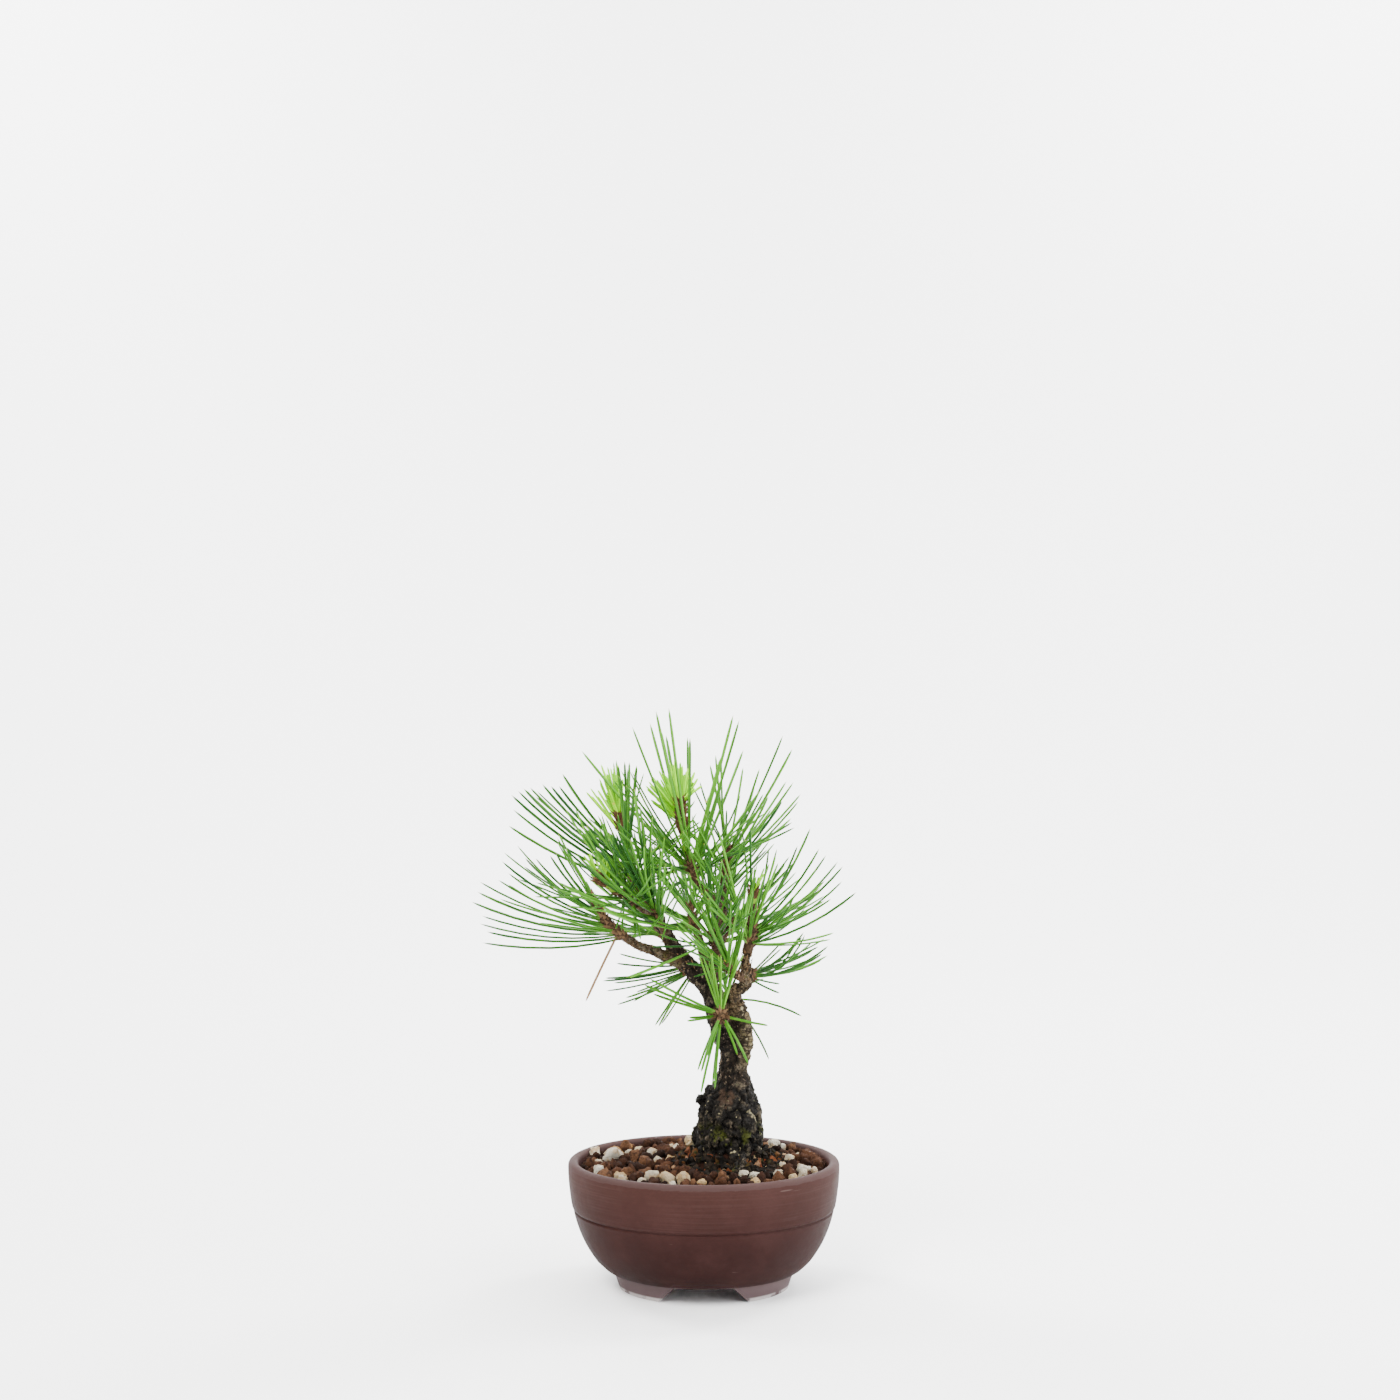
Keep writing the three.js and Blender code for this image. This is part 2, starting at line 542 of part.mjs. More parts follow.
    core: [[-4.2, 16.4, 156.6, 1.8], [-5.6, 18, 161.2, 1.6], [-6.8, 19.6, 166, 1.3]],
    fans: [
      { count: 11, alpha: [168, 30], delta: [8, 66], length: [44, 57], bow: 0.1, along: [0.3, 0.95] },
      { count: 2, alpha: [200, 170], delta: [10, 60], length: [36, 46], bow: 0.1, along: [0.3, 0.8] },
    ],
  },
  {
    name: 'back_right',
    twig: [[0.6, 7.6, 140.4, 2.0], [4.6, 11.4, 145.2, 1.8]],
    core: [[8, 14.8, 149.8, 1.7], [11, 18, 154.8, 1.5], [13.2, 20.6, 160, 1.2]],
    fans: [
      { count: 11, alpha: [112, 8], delta: [4, 66], length: [42, 55], bow: 0.15, along: [0.2, 0.95] },
    ],
  },
  {
    name: 'back_left',
    twig: [[-10.6, -1, 145.4, 2.3], [-14.4, 4.6, 149, 2.0]],
    core: [[-18, 9.6, 152.8, 1.8], [-21.8, 14.4, 156.8, 1.6], [-25, 18.6, 161.6, 1.3]],
    fans: [
      { count: 11, alpha: [176, 82], delta: [4, 66], length: [42, 55], bow: 0.15, along: [0.2, 0.95] },
    ],
  },
  {
    name: 'candle_top',
    look: 'youngNeedle',
    after: 'top',
    core: [[-8.6, -0.4, 198, 1.9], [-9.6, -1, 204.5, 1.9], [-10.8, -1.2, 215, 1.1]],
    fans: [
      {
        tips: [[-19.5, 214.5], [-23.4, 217.6], [-25.8, 222], [-22.4, 225], [-19.2, 228.6], [-15.8, 229.6],
          [-12.5, 231.8], [-9.6, 228.8], [-7, 229.4], [-4.2, 225], [-6, 219.2], [-3.8, 221.5]],
        delta: [-34, 34], bow: 0.1, along: [0.6, 0.98],
      },
    ],
  },
  {
    name: 'candle_upper_left',
    look: 'youngNeedle',
    after: 'upper_left',
    core: [[-36, 3.6, 199, 1.7], [-38, 4, 208, 1.1]],
    fans: [
      {
        tips: [[-51.9, 224.9], [-50.6, 225.6], [-45.9, 223.4], [-47.1, 231.1], [-44.2, 226], [-42.8, 230.4],
          [-41.3, 231], [-40.4, 224.6], [-37, 222.4]],
        delta: [-30, 30], bow: 0.1, along: [0.4, 0.97],
      },
    ],
  },
  {
    name: 'candle_left',
    look: 'youngNeedle',
    after: 'left_mid',
    core: [[-43.2, -16.4, 178.4, 1.4], [-46.4, -18.2, 181.6, 1.0]],
    fans: [
      { count: 7, alpha: [142, 74], delta: [-44, 12], length: [10, 15], bow: 0, along: [0.3, 0.95] },
    ],
  },
  {
    name: 'candle_right',
    look: 'youngNeedle',
    after: 'right',
    core: [[22.4, -5, 171.4, 1.5], [22.8, -5.2, 174.6, 1.0]],
    fans: [
      {
        tips: [[20.4, 182], [21.6, 180.2], [24.2, 178.6], [27, 182.4], [27.4, 184.6]],
        delta: [-14, 14], bow: 0.05, along: [0.3, 0.95],
      },
    ],
  },
];

/** What carries the shoot: a twig or limb of the tree, or the shoot before it. */
function carrier(shoot) {
  if (shoot.after) return coreRoute(SHOOTS.find(({ name }) => name === shoot.after));
  return shoot.twig ?? shoot.parent;
}

/** The direction in which a limb ends. */
function endDirection(points) {
  return curveThrough(points).getTangent(1);
}

/** The core's points. It starts GAP beyond the end of what carries it, face to face. */
function coreRoute(shoot) {
  const before = carrier(shoot);
  const [x, y, z, radius] = before[before.length - 1];
  const start = v3(x, y, z).addScaledVector(endDirection(before), GAP);
  return [[start.x, start.y, start.z, radius], ...shoot.core];
}

/** The point and thickness of a limb at a share of its points. */
function placeAlong(route, share) {
  const span = Math.min(Math.floor(share * (route.length - 1)), route.length - 2);
  const t = share * (route.length - 1) - span;
  const [x, y, z, radius] = route[span].map((value, i) => lerp(value, route[span + 1][i], t));
  return { point: v3(x, y, z), radius };
}

/** A direction in the front view (alpha), tilted away from the viewer (delta), in degrees. */
function heading(alpha, delta) {
  const flat = Math.cos(delta * RAD);
  return v3(Math.cos(alpha * RAD) * flat, Math.sin(delta * RAD), Math.sin(alpha * RAD) * flat);
}

/** Shortest distance between two straight pieces a-b and c-d. */
function distanceBetween(a, b, c, d) {
  const u = b.clone().sub(a);
  const v = d.clone().sub(c);
  const w = a.clone().sub(c);
  const [uu, uv, vv, uw, vw] = [u.dot(u), u.dot(v), v.dot(v), u.dot(w), v.dot(w)];
  const spread = uu * vv - uv * uv;
  let s = spread > 1e-9 ? THREE.MathUtils.clamp((uv * vw - vv * uw) / spread, 0, 1) : 0;
  const t = THREE.MathUtils.clamp((uv * s + vw) / vv, 0, 1);
  s = THREE.MathUtils.clamp((uv * t - uw) / uu, 0, 1);
  return w.addScaledVector(u, s).addScaledVector(v, -t).length();
}

/** The wood of a limb as straight pieces, stopped short of its free ends by its own radius. */
function woodPieces(owner, points, startsFree) {
  const ends = points.map(([x, y, z]) => v3(x, y, z));
  const last = ends.length - 1;
  ends[last].addScaledVector(ends[last].clone().sub(ends[last - 1]).normalize(), -points[last][3]);
  if (startsFree) ends[0].addScaledVector(ends[1].clone().sub(ends[0]).normalize(), points[0][3]);
  return ends.slice(1).map((end, i) => (
    { owner, a: ends[i], b: end, radius: Math.max(points[i][3], points[i + 1][3]) }));
}

/** The way from a seat to a tip that EYE sees at [x, z], tilted delta degrees from the viewer. */
function wayToTip([x, z], seat, delta) {
  const y = seat.y + Math.hypot(x - seat.x, z - seat.z) * Math.tan(delta * RAD);
  const scale = 1 + y / EYE.distance;
  return v3(EYE.x + (x - EYE.x) * scale, y, EYE.height + (z - EYE.height) * scale).sub(seat);
}

/** One needle as a line with one bend: root, bend, tip. */
function drawNeedle(fan, route, index, wander, random) {
  const share = fan.tips ? (index + 0.5) / fan.tips.length : fraction(0.3 + index * PLASTIC_SHARE);
  const seat = placeAlong(route, lerp(...fan.along, share));
  const stray = () => (random() * 2 - 1) * wander * (fan.tips ? NEEDLE.tipJitter : 1);
  const delta = lerp(...fan.delta, fraction(0.5 + index * GOLDEN_SHARE)) + stray();
  const way = fan.tips ? wayToTip(fan.tips[index], seat.point, delta)
    : heading(lerp(...fan.alpha, (index + 0.5) / fan.count) + stray(), delta)
      .multiplyScalar(lerp(...fan.length, random()));
  const length = way.length();
  const aim = way.normalize();
  const lead = aim.clone().add(v3(0, 0, -fan.bow)).normalize();
  const root = seat.point.addScaledVector(lead, NEEDLE.seat * seat.radius);
  const k = NEEDLE.kink;
  const bend = root.clone()
    .addScaledVector(lead, k * (1 - k) * length)
    .addScaledVector(aim, k * k * length);
  return [root, bend, root.clone().addScaledVector(aim, length)];
}

/** All needles of all shoots, as bent lines, each clear of the wood and of other shoots' needles. */
function drawNeedles() {
  const pieces = [
    ...woodPieces('tree', MAIN_STEM.slice(1), false),
    ...LIMBS.flatMap((points) => woodPieces('tree', points, false)),
    ...SHOOTS.filter(({ twig }) => twig).flatMap(({ twig }) => woodPieces('tree', twig, false)),
    ...SHOOTS.flatMap((shoot) => woodPieces(shoot.name, coreRoute(shoot), true)),
  ];
  const radius = NEEDLE.width * HALF_OF_TRIANGLE;
  const drawn = new Map();
  SHOOTS.forEach((shoot, shootIndex) => {
    const route = coreRoute(shoot);
    const others = pieces.filter(({ owner }) => owner !== shoot.name);
    const isClear = (a, b) => others.every((piece) =>
      distanceBetween(a, b, piece.a, piece.b) > piece.radius + radius + NEEDLE.clear);
    const lines = [];
    shoot.fans.forEach((fan, fanIndex) => {
      const random = seeded(1000 * (shootIndex + 1) + 37 * fanIndex);
      for (let index = 0; index < (fan.tips?.length ?? fan.count); index++) {
        for (let attempt = 0; attempt < NEEDLE.tries; attempt++) {
          const wander = lerp(...NEEDLE.jitter, attempt / NEEDLE.tries);
          const [root, bend, tip] = drawNeedle(fan, route, index, wander, random);
          if (isClear(root, bend) && isClear(bend, tip)) {
            lines.push([root, bend, tip]);
            break;
          }
        }
      }
    });
    for (const [root, bend, tip] of lines) {
      pieces.push({ owner: shoot.name, a: root, b: bend, radius });
      pieces.push({ owner: shoot.name, a: bend, b: tip, radius });
    }
    drawn.set(shoot.name, lines);
  });
  return drawn;
}

function makeSpray(shoot, lines) {
  const startAlong = endDirection(carrier(shoot));
  const core = solid(limb(coreRoute(shoot), { sides: 5, perSpan: 1, startAlong }));
  const thick = NEEDLE.width * HALF_OF_TRIANGLE;
  const needles = lines.map(([base, bend, tip]) => solid(limb([
    [base.x, base.y, base.z, thick * NEEDLE.root], [bend.x, bend.y, bend.z, thick], [tip.x, tip.y, tip.z, 0],
  ], { sides: 3, perSpan: 1 })));
  return wholeBody(wasm.Manifold.union([core, ...needles]));
}

// ------------------------------------------------------------------ soil
/** Half width of the inside of the pot at a height. */
function insideHalfWidth(z) {
  const above = Math.max(1, HOLLOW.findIndex(([height]) => height >= z));
  const [[z0, r0], [z1, r1]] = [HOLLOW[above - 1], HOLLOW[above]];
  return lerp(r0, r1, (z - z0) / (z1 - z0));
}

function soilHeight(x, y) {
  const away = Math.hypot(x - TRUNK.x, (y - TRUNK.y) * 1.1);
  const past = Math.max(0, away - SOIL.heapFrom);
  return SOIL.edgeHeight + SOIL.mound * Math.exp(-((away / SOIL.moundSpread) ** 2))
    + SOIL.heap * Math.exp(-((past / SOIL.heapSpread) ** 2));
}

/** Faceted grains spread evenly over the surface, clear of the wall of the pot and of the trunk. */
function makeGrains() {
  const random = seeded(SOIL.seed);
  const room = insideHalfWidth(SOIL.edgeHeight) - GAP - SOIL.grainSize[1] / 2;
  const roomDeep = (room + POT.lip) * POT.depthRatio - POT.lip;
  const grains = [];
  for (let i = 0; i < SOIL.grains; i++) {
    const out = Math.sqrt((i + 0.5) / SOIL.grains);
    const turn = i * GOLDEN_ANGLE;
    const x = room * out * Math.cos(turn);
    const y = roomDeep * out * Math.sin(turn);
    const half = lerp(...SOIL.grainSize, random()) / 2;
    const width = lerp(...SOIL.grainWidth, random());
    const size = [half, half * width, half * lerp(...SOIL.grainHeight, random())];
    const yaw = random() * FULL_TURN;
    const tilt = (random() * 2 - 1) * SOIL.grainTilt;
    if (Math.hypot(x - TRUNK.x, y - TRUNK.y) < SOIL.bareRadius) continue;
    const lift = soilHeight(x, y) + size[2] * (1 - 2 * SOIL.grainSunk);
    grains.push(solid(new THREE.OctahedronGeometry(1, 0)
      .rotateX(SOIL.grainRoll).scale(...size).rotateY(tilt).rotateZ(yaw).translate(x, y, lift)));
  }
  return grains;
}

function makeSoil() {
  const inset = POT.lip + GAP;
  const bottom = POT.floorTop + GAP;
  const walls = [bottom, 14, 22, 35, SOIL.edgeHeight]
    .map((z) => ({ r: insideHalfWidth(z) - GAP, z, inset }));
  const edge = walls[walls.length - 1];
  const top = [0.84, 0.68, 0.52, 0.38, 0.26, 0.14]
    .map((share) => ({ r: edge.r * share, z: edge.z, inset: inset * share }));
  const body = ovalTurned([{ r: 0, z: bottom }, ...walls, ...top, { r: 0, z: edge.z }], SOIL.sides);
  const position = body.attributes.position;
  for (let i = 0; i < position.count; i++) {
    if (position.getZ(i) < edge.z - 1e-3) continue;
    position.setZ(i, soilHeight(position.getX(i), position.getY(i)));
  }
  let soil = wasm.Manifold.union([solid(body), ...makeGrains()]);
  soil = soil.subtract(makeTree(GAP));
  const plateHalf = SCREEN.side / 2 + GAP;
  const plateTop = POT.floorTop + 2 * SCREEN.lift + SCREEN.thickness;
  const wireHalf = WIRE.leg + WIRE.radius + GAP;
  for (const side of [-1, 1]) {
    const plate = new THREE.BoxGeometry(2 * plateHalf, 2 * plateHalf, 4)
      .translate(side * POT.drainX, 0, plateTop - 2);
    const bar = new THREE.BoxGeometry(2 * wireHalf, 2 * (WIRE.radius + GAP), 6)
      .translate(side * POT.drainX, 0, wireTop() + WIRE.radius + GAP - 3);
    soil = soil.subtract(solid(plate)).subtract(solid(bar));
  }
  return wholeBody(soil);
}

// ------------------------------------------------------------------ the part
const needleLines = drawNeedles();
const plant = new THREE.Group();
plant.add(named('trunk_and_branches', makeTree(), COLOURS.bark));
for (const shoot of SHOOTS) {
  const name = shoot.after ? shoot.name : `needles_${shoot.name}`;
  plant.add(named(name, makeSpray(shoot, needleLines.get(shoot.name)), COLOURS[shoot.look ?? 'needle']));
}

const potted = new THREE.Group();
potted.add(named('pot', makePot(), COLOURS.stoneware));
potted.add(named('soil', makeSoil(), COLOURS.soil));
for (const [side, x] of [['left', -POT.drainX], ['right', POT.drainX]]) {
  potted.add(named(`drain_screen_${side}`, makeScreen(x), COLOURS.netting));
  potted.add(named(`screen_wire_${side}`, makeWire(x), COLOURS.wire));
}

// The origin is the middle of the whole plant's footprint, on the surface it stands on.
const bonsai = new THREE.Group();
bonsai.add(plant, potted);
const box = new THREE.Box3().setFromObject(bonsai, true);
bonsai.children.forEach((half) => half.position.set(
  -(box.min.x + box.max.x) / 2, -(box.min.y + box.max.y) / 2, -box.min.z));

export default bonsai;
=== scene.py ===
"""Dresses a young black pine bonsai in an oval stoneware pot on its fixed frame.

Sizes in the classes are millimetres in the pot's own space: the middle of the pot is X = Y = 0,
+X is right, +Y is away from the viewer, and the feet reach down to Z = -FOOT_REACH. Bench.publish
moves each finished mesh from there into the frame, which is in metres and stands on Z = 0.
"""

import json
import logging
import math
import random
from collections.abc import Callable, Iterable, Sequence
from dataclasses import dataclass, field
from enum import Enum

import bmesh
import bpy
import numpy as np
from bmesh.types import BMEdge, BMesh, BMFace, BMVert
from bpy.types import Material, Mesh, Node, NodeSocket, Object
from mathutils import Euler, Matrix, Vector, noise
from mathutils.kdtree import KDTree

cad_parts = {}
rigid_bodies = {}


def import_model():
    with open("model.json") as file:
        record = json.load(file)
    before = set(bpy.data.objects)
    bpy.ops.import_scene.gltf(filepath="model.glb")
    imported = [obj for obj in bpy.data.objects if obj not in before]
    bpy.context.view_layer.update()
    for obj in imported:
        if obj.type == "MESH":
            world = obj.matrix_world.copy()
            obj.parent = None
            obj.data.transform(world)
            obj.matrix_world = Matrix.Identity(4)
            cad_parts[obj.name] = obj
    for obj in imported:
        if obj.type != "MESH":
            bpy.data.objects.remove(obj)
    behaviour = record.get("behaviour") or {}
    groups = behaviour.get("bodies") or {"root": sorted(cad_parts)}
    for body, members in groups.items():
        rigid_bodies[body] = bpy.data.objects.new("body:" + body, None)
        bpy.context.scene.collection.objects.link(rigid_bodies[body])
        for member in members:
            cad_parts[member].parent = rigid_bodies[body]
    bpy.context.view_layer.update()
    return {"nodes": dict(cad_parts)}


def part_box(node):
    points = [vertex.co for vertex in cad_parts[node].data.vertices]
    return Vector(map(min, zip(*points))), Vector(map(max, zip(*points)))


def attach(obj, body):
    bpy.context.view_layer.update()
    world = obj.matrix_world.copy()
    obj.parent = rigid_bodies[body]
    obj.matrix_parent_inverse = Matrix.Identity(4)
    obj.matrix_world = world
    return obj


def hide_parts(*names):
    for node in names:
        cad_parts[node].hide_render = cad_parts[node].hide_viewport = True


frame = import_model()
LOG = logging.getLogger("bonsai")

MM = 0.001
FULL_TURN = 2 * math.pi
GOLDEN_ANGLE = math.pi * (3 - math.sqrt(5))
GOLDEN_SHARE = 0.618034
PLASTIC_SHARE = 0.754878
GAP = 0.35  # clear space between a shoot and the wood that carries it
FOOT_REACH = 2.3
SMOOTH = 180  # crease angles in degrees: edges that turn by more stay sharp
NEEDLE_CREASE = 70
SCALE_CREASE = 45
EYE = Vector((-1.7, -830.0, 259.9))  # where the viewer stands, looking along +Y

Route = Sequence[tuple[float, float, float, float]]  # points of a limb: x, y, z, radius
Span = tuple[float, float]
Place = tuple[float, float, float]  # three numbers that go together, most often x, y and z
Draw = Callable[[], float]  # gives the next random number from 0 to 1


class Slot(Enum):
    """Names of the record's material slots; the needle finishes hold one each, and no piece is given one."""

    STONEWARE = "stoneware"
    SOIL = "soil"
    BARK = "bark"
    NEEDLES = "needles"
    PALE_NEEDLES = "pale_needles"
    YOUNG_NEEDLES = "young_needles"
    WIRE = "wire"


# ---- numbers
def lerp(a: float, b: float, t: float) -> float:
    """Returns the value a share t of the way from a to b."""
    return a + (b - a) * t


def fraction(x: float) -> float:
    """Returns the part of x after the point."""
    return x - math.floor(x)


def smooth_step(low: float, high: float, x: float) -> float:
    """Returns 0 below low, 1 above high, and an even ease between them."""
    t = min(max((x - low) / (high - low), 0.0), 1.0)
    return t * t * (3 - 2 * t)


def seeded(seed: int) -> Draw:
    """Makes the repeatable random numbers that the frame's needles were placed by.

    Args:
        seed: the whole number to start from.

    Returns:
        A function that gives the next number from 0 to 1.
    """
    full = 0xFFFFFFFF
    state = seed & full

    def draw() -> float:
        """Returns the next number."""
        nonlocal state
        state = (state + 0x6D2B79F5) & full
        t = ((state ^ (state >> 15)) * (state | 1)) & full
        t ^= (t + (((t ^ (t >> 7)) * (t | 61)) & full)) & full
        return (t ^ (t >> 14)) / 4294967296

    return draw


def wobble(place: Vector) -> Vector:
    """Returns a smooth random offset at a place, each part of it from about -1 to 1."""
    shifts = (Vector((0, 0, 0)), Vector((31.4, 0, 0)), Vector((0, 47.2, 0)))
    return Vector([noise.noise(place + shift) for shift in shifts])


def square_to(along: Vector, hint: Vector) -> Vector:
    """Returns the unit vector nearest to hint that is square to along."""
    return (hint - along * hint.dot(along)).normalized()


# ---- lines through space
def catmull_point(points: Sequence[Vector], t: float) -> Vector:
    """Returns the point at a share t of a centripetal Catmull-Rom curve.

    Args:
        points: the points that the curve goes through.
        t: 0 at the first point, 1 at the last.

    Returns:
        The point.
    """
    last = len(points) - 1
    place = last * t
    span = min(math.floor(place), last - 1)
    w = place - span
    p1, p2 = points[span], points[span + 1]
    p0 = points[span - 1] if span > 0 else points[0] * 2 - points[1]
    p3 = points[span + 2] if span + 2 <= last else points[last] * 2 - points[last - 1]
    d0, d1, d2 = ((b - a).length_squared ** 0.25 for a, b in ((p0, p1), (p1, p2), (p2, p3)))
    t1 = ((p1 - p0) / d0 - (p2 - p0) / (d0 + d1) + (p2 - p1) / d1) * d1
    t2 = ((p2 - p1) / d1 - (p3 - p1) / (d1 + d2) + (p3 - p2) / d2) * d1
    return p1 + t1 * w + (p2 * 3 - p1 * 3 - t1 * 2 - t2) * w**2 + (p1 * 2 - p2 * 2 + t1 + t2) * w**3


def end_direction(route: Route) -> Vector:
    """Finds the direction in which a limb ends.

    Args:
        route: the limb's points.

    Returns:
        A unit vector.
    """
    points = [Vector(p[:3]) for p in route]
    step = 0.0001
    return (catmull_point(points, 1.0) - catmull_point(points, 1 - step)).normalized()


def place_along(route: Route, share: float) -> tuple[Vector, float]:
    """Finds a place on a limb.

    Args:
        route: the limb's points.
        share: the share of them that is passed, from 0 to 1.

    Returns:
        The point and the thickness there.
    """
    span = min(math.floor(share * (len(route) - 1)), len(route) - 2)
    t = share * (len(route) - 1) - span
    x, y, z, radius = (lerp(a, b, t) for a, b in zip(route[span], route[span + 1]))
    return Vector((x, y, z)), radius


@dataclass
class Station:
    """One ring of a limb or a needle: its middle, its two directions and its radius."""

    centre: Vector
    side: Vector
    across: Vector
    radius: float
    run: float


def stations_on(centres: Sequence[Vector], radii: Sequence[float], hint: Vector) -> list[Station]:
    """Works out the rings along a line without twisting them.

    Args:
        centres: the middle of each ring.
        radii: the radius of each ring.
        hint: roughly where the first ring's side points.

    Returns:
        One station for each centre.
    """
    stations = []
    side, run = hint, 0.0
    for k, centre in enumerate(centres):
        ahead = centres[min(k + 1, len(centres) - 1)]
        behind = centres[max(k - 1, 0)]
        along = (ahead - behind).normalized()
        side = square_to(along, side)
        run += (centre - behind).length if k else 0.0
        stations.append(Station(centre, side, along.cross(side), radii[k], run))
    return stations


def limb_stations(route: Route, spacing: float) -> list[Station]:
    """Works out the rings of a limb.

    Args:
        route: the limb's points.
        spacing: about how far apart the rings are.

    Returns:
        The rings.
    """
    points = [Vector(p[:3]) for p in route]
    length = sum((b - a).length for a, b in zip(points, points[1:]))
    steps = max(4, round(length / spacing))
    centres = [catmull_point(points, k / steps) for k in range(steps + 1)]
    radii = [place_along(route, k / steps)[1] for k in range(steps + 1)]
    return stations_on(centres, radii, Vector((1.0, 0.0, 0.0)))


# ---- mesh making
def tube_template(sides: int, rings: int, pointed: bool = False) -> Mesh:
    """Makes an upright tube of radius 1 from Z = 0 to 1 by extruding a circle.

    Args:
        sides: corners of the circle.
        rings: steps along the tube.
        pointed: draws the last ring together to a point.

    Returns:
        The mesh, closed at both ends.
    """
    bm = bmesh.new()
    circle = bmesh.ops.create_circle(bm, cap_ends=True, segments=sides, radius=1.0)
    edges = list({e for v in circle["verts"] for e in v.link_edges})
    bmesh.ops.reverse_faces(bm, faces=bm.faces[:])
    for _ in range(rings):
        grown = bmesh.ops.extrude_edge_only(bm, edges=edges)["geom"]
        edges = [g for g in grown if isinstance(g, BMEdge) and g.is_boundary]
        ring = list({v for e in edges for v in e.verts})
        bmesh.ops.translate(bm, verts=ring, vec=(0, 0, 1 / rings))
    if pointed:
        bmesh.ops.pointmerge(bm, verts=ring, merge_co=(0, 0, 1))
    else:
        bmesh.ops.contextual_create(bm, geom=edges)
    bmesh.ops.recalc_face_normals(bm, faces=bm.faces[:])
    mesh = bpy.data.meshes.new("template")
    bm.to_mesh(mesh)
    bm.free()
    return mesh


def copy_into(bm: BMesh, template: Mesh) -> list[BMVert]:
    """Adds a copy of a mesh.

    Args:
        bm: the mesh that takes it.
        template: the mesh to copy.

    Returns:
        The new corners.
    """
    before = len(bm.verts)
    bm.from_mesh(template)
    bm.verts.ensure_lookup_table()
    return bm.verts[before:]


def put_in_order(bm: BMesh) -> None:
    """Sorts the edges and faces by their corners, so that a Boolean goes the same way each run.

    Args:
        bm: the mesh.
    """
    bm.verts.index_update()
    base = len(bm.verts)

    def rank(part: BMEdge | BMFace) -> float:
        """Returns a number that rises with the part's lowest corners."""
        lowest = sorted(corner.index for corner in part.verts)[:3]
        return sum(index / base**place for place, index in enumerate(lowest))

    for parts in (bm.edges, bm.faces):
        parts.sort(key=rank)
        parts.index_update()


def sweep(bm: BMesh, template: Mesh, stations: Sequence[Station]) -> list[BMVert]:
    """Adds a copy of an upright tube, bent onto a line.

    Args:
        bm: the mesh that takes it.
        template: a tube with one ring for each station.
        stations: the rings' places.

    Returns:
        The new corners.
    """
    corners = copy_into(bm, template)
    last = len(stations) - 1
    for v in corners:
        at = stations[round(v.co.z * last)]
        v.co = at.centre + at.side * (v.co.x * at.radius) + at.across * (v.co.y * at.radius)
    return corners


def solid_limb(bm: BMesh, route: Route, sides: int, spacing: float) -> list[Station]:
    """Adds a tapering round limb.

    Args:
        bm: the mesh that takes it.
        route: the limb's points.
        sides: corners of each ring.
        spacing: about how far apart the rings are.

    Returns:
        The rings.
    """
    stations = limb_stations(route, spacing)
    template = tube_template(sides, len(stations) - 1)
    sweep(bm, template, stations)
    bpy.data.meshes.remove(template)
    return stations


def modified(bm: BMesh, kind: str, settings: dict[str, object], cutter: BMesh | None = None) -> BMesh:
    """Returns the mesh after one Blender modifier.

    Args:
        bm: the mesh, which is freed.
        kind: the modifier's type.
        settings: its values.
        cutter: the other mesh of a Boolean, which is freed.

    Returns:
        The new mesh.
    """
    made = []
    for source in (bm, cutter):
        if source is None:
            continue
        mesh = bpy.data.meshes.new("work")
        source.to_mesh(mesh)
        source.free()
        made.append(bpy.data.objects.new("work", mesh))
        bpy.context.scene.collection.objects.link(made[-1])
    modifier = made[0].modifiers.new("work", kind)
    for key, value in settings.items():
        setattr(modifier, key, value)
    if cutter is not None:
        modifier.object = made[1]
    graph = bpy.context.evaluated_depsgraph_get()
    result = bmesh.new()
    result.from_mesh(made[0].evaluated_get(graph).data)
    for thing in made:
        mesh = thing.data
        bpy.data.objects.remove(thing)
        bpy.data.meshes.remove(mesh)
    return result


def joined(bm: BMesh, other: BMesh, operation: str) -> BMesh:
    """Returns the UNION or DIFFERENCE of two meshes."""
    return modified(bm, "BOOLEAN", {"operation": operation, "solver": "MANIFOLD"}, other)


class Bench:
    """Publishes finished meshes as pieces of the scene."""

    def __init__(self) -> None:
        """Finds the middle of the pot in the frame."""
        low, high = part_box("pot")
        middle = Vector(((low[0] + high[0]) / 2, (low[1] + high[1]) / 2, low[2] + FOOT_REACH * MM))
        self.middle = middle
        self.to_frame = Matrix.Translation(middle) @ Matrix.Scale(MM, 4)

    def publish(
        self,
        name: str,
        bm: BMesh,
        material: Material,
        stands_for: str = "",
        crease: float = 50,
    ) -> Object:
        """Makes a piece of a mesh in the pot's space.

        Args:
            name: the piece's name.
            bm: its mesh, which is freed.
            material: its finish.
            stands_for: the frame's node that it replaces, if any.
            crease: edges sharper than this many degrees stay sharp.

        Returns:
            The piece.
        """
        bmesh.ops.transform(bm, matrix=self.to_frame, verts=bm.verts[:])
        mesh = bpy.data.meshes.new(name)
        bm.to_mesh(mesh)
        bm.free()
        mesh.shade_smooth()
        mesh.set_sharp_from_angle(angle=math.radians(crease))
        mesh.materials.append(material)
        piece = bpy.data.objects.new(name, mesh)
        bpy.context.scene.collection.objects.link(piece)
        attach(piece, "root")
        if stands_for:
            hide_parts(stands_for)
        LOG.info("%s: %d faces", name, len(mesh.polygons))
        return piece


# ---- materials
Value = object  # a socket, a number or a tuple
Colour = tuple[float, float, float]


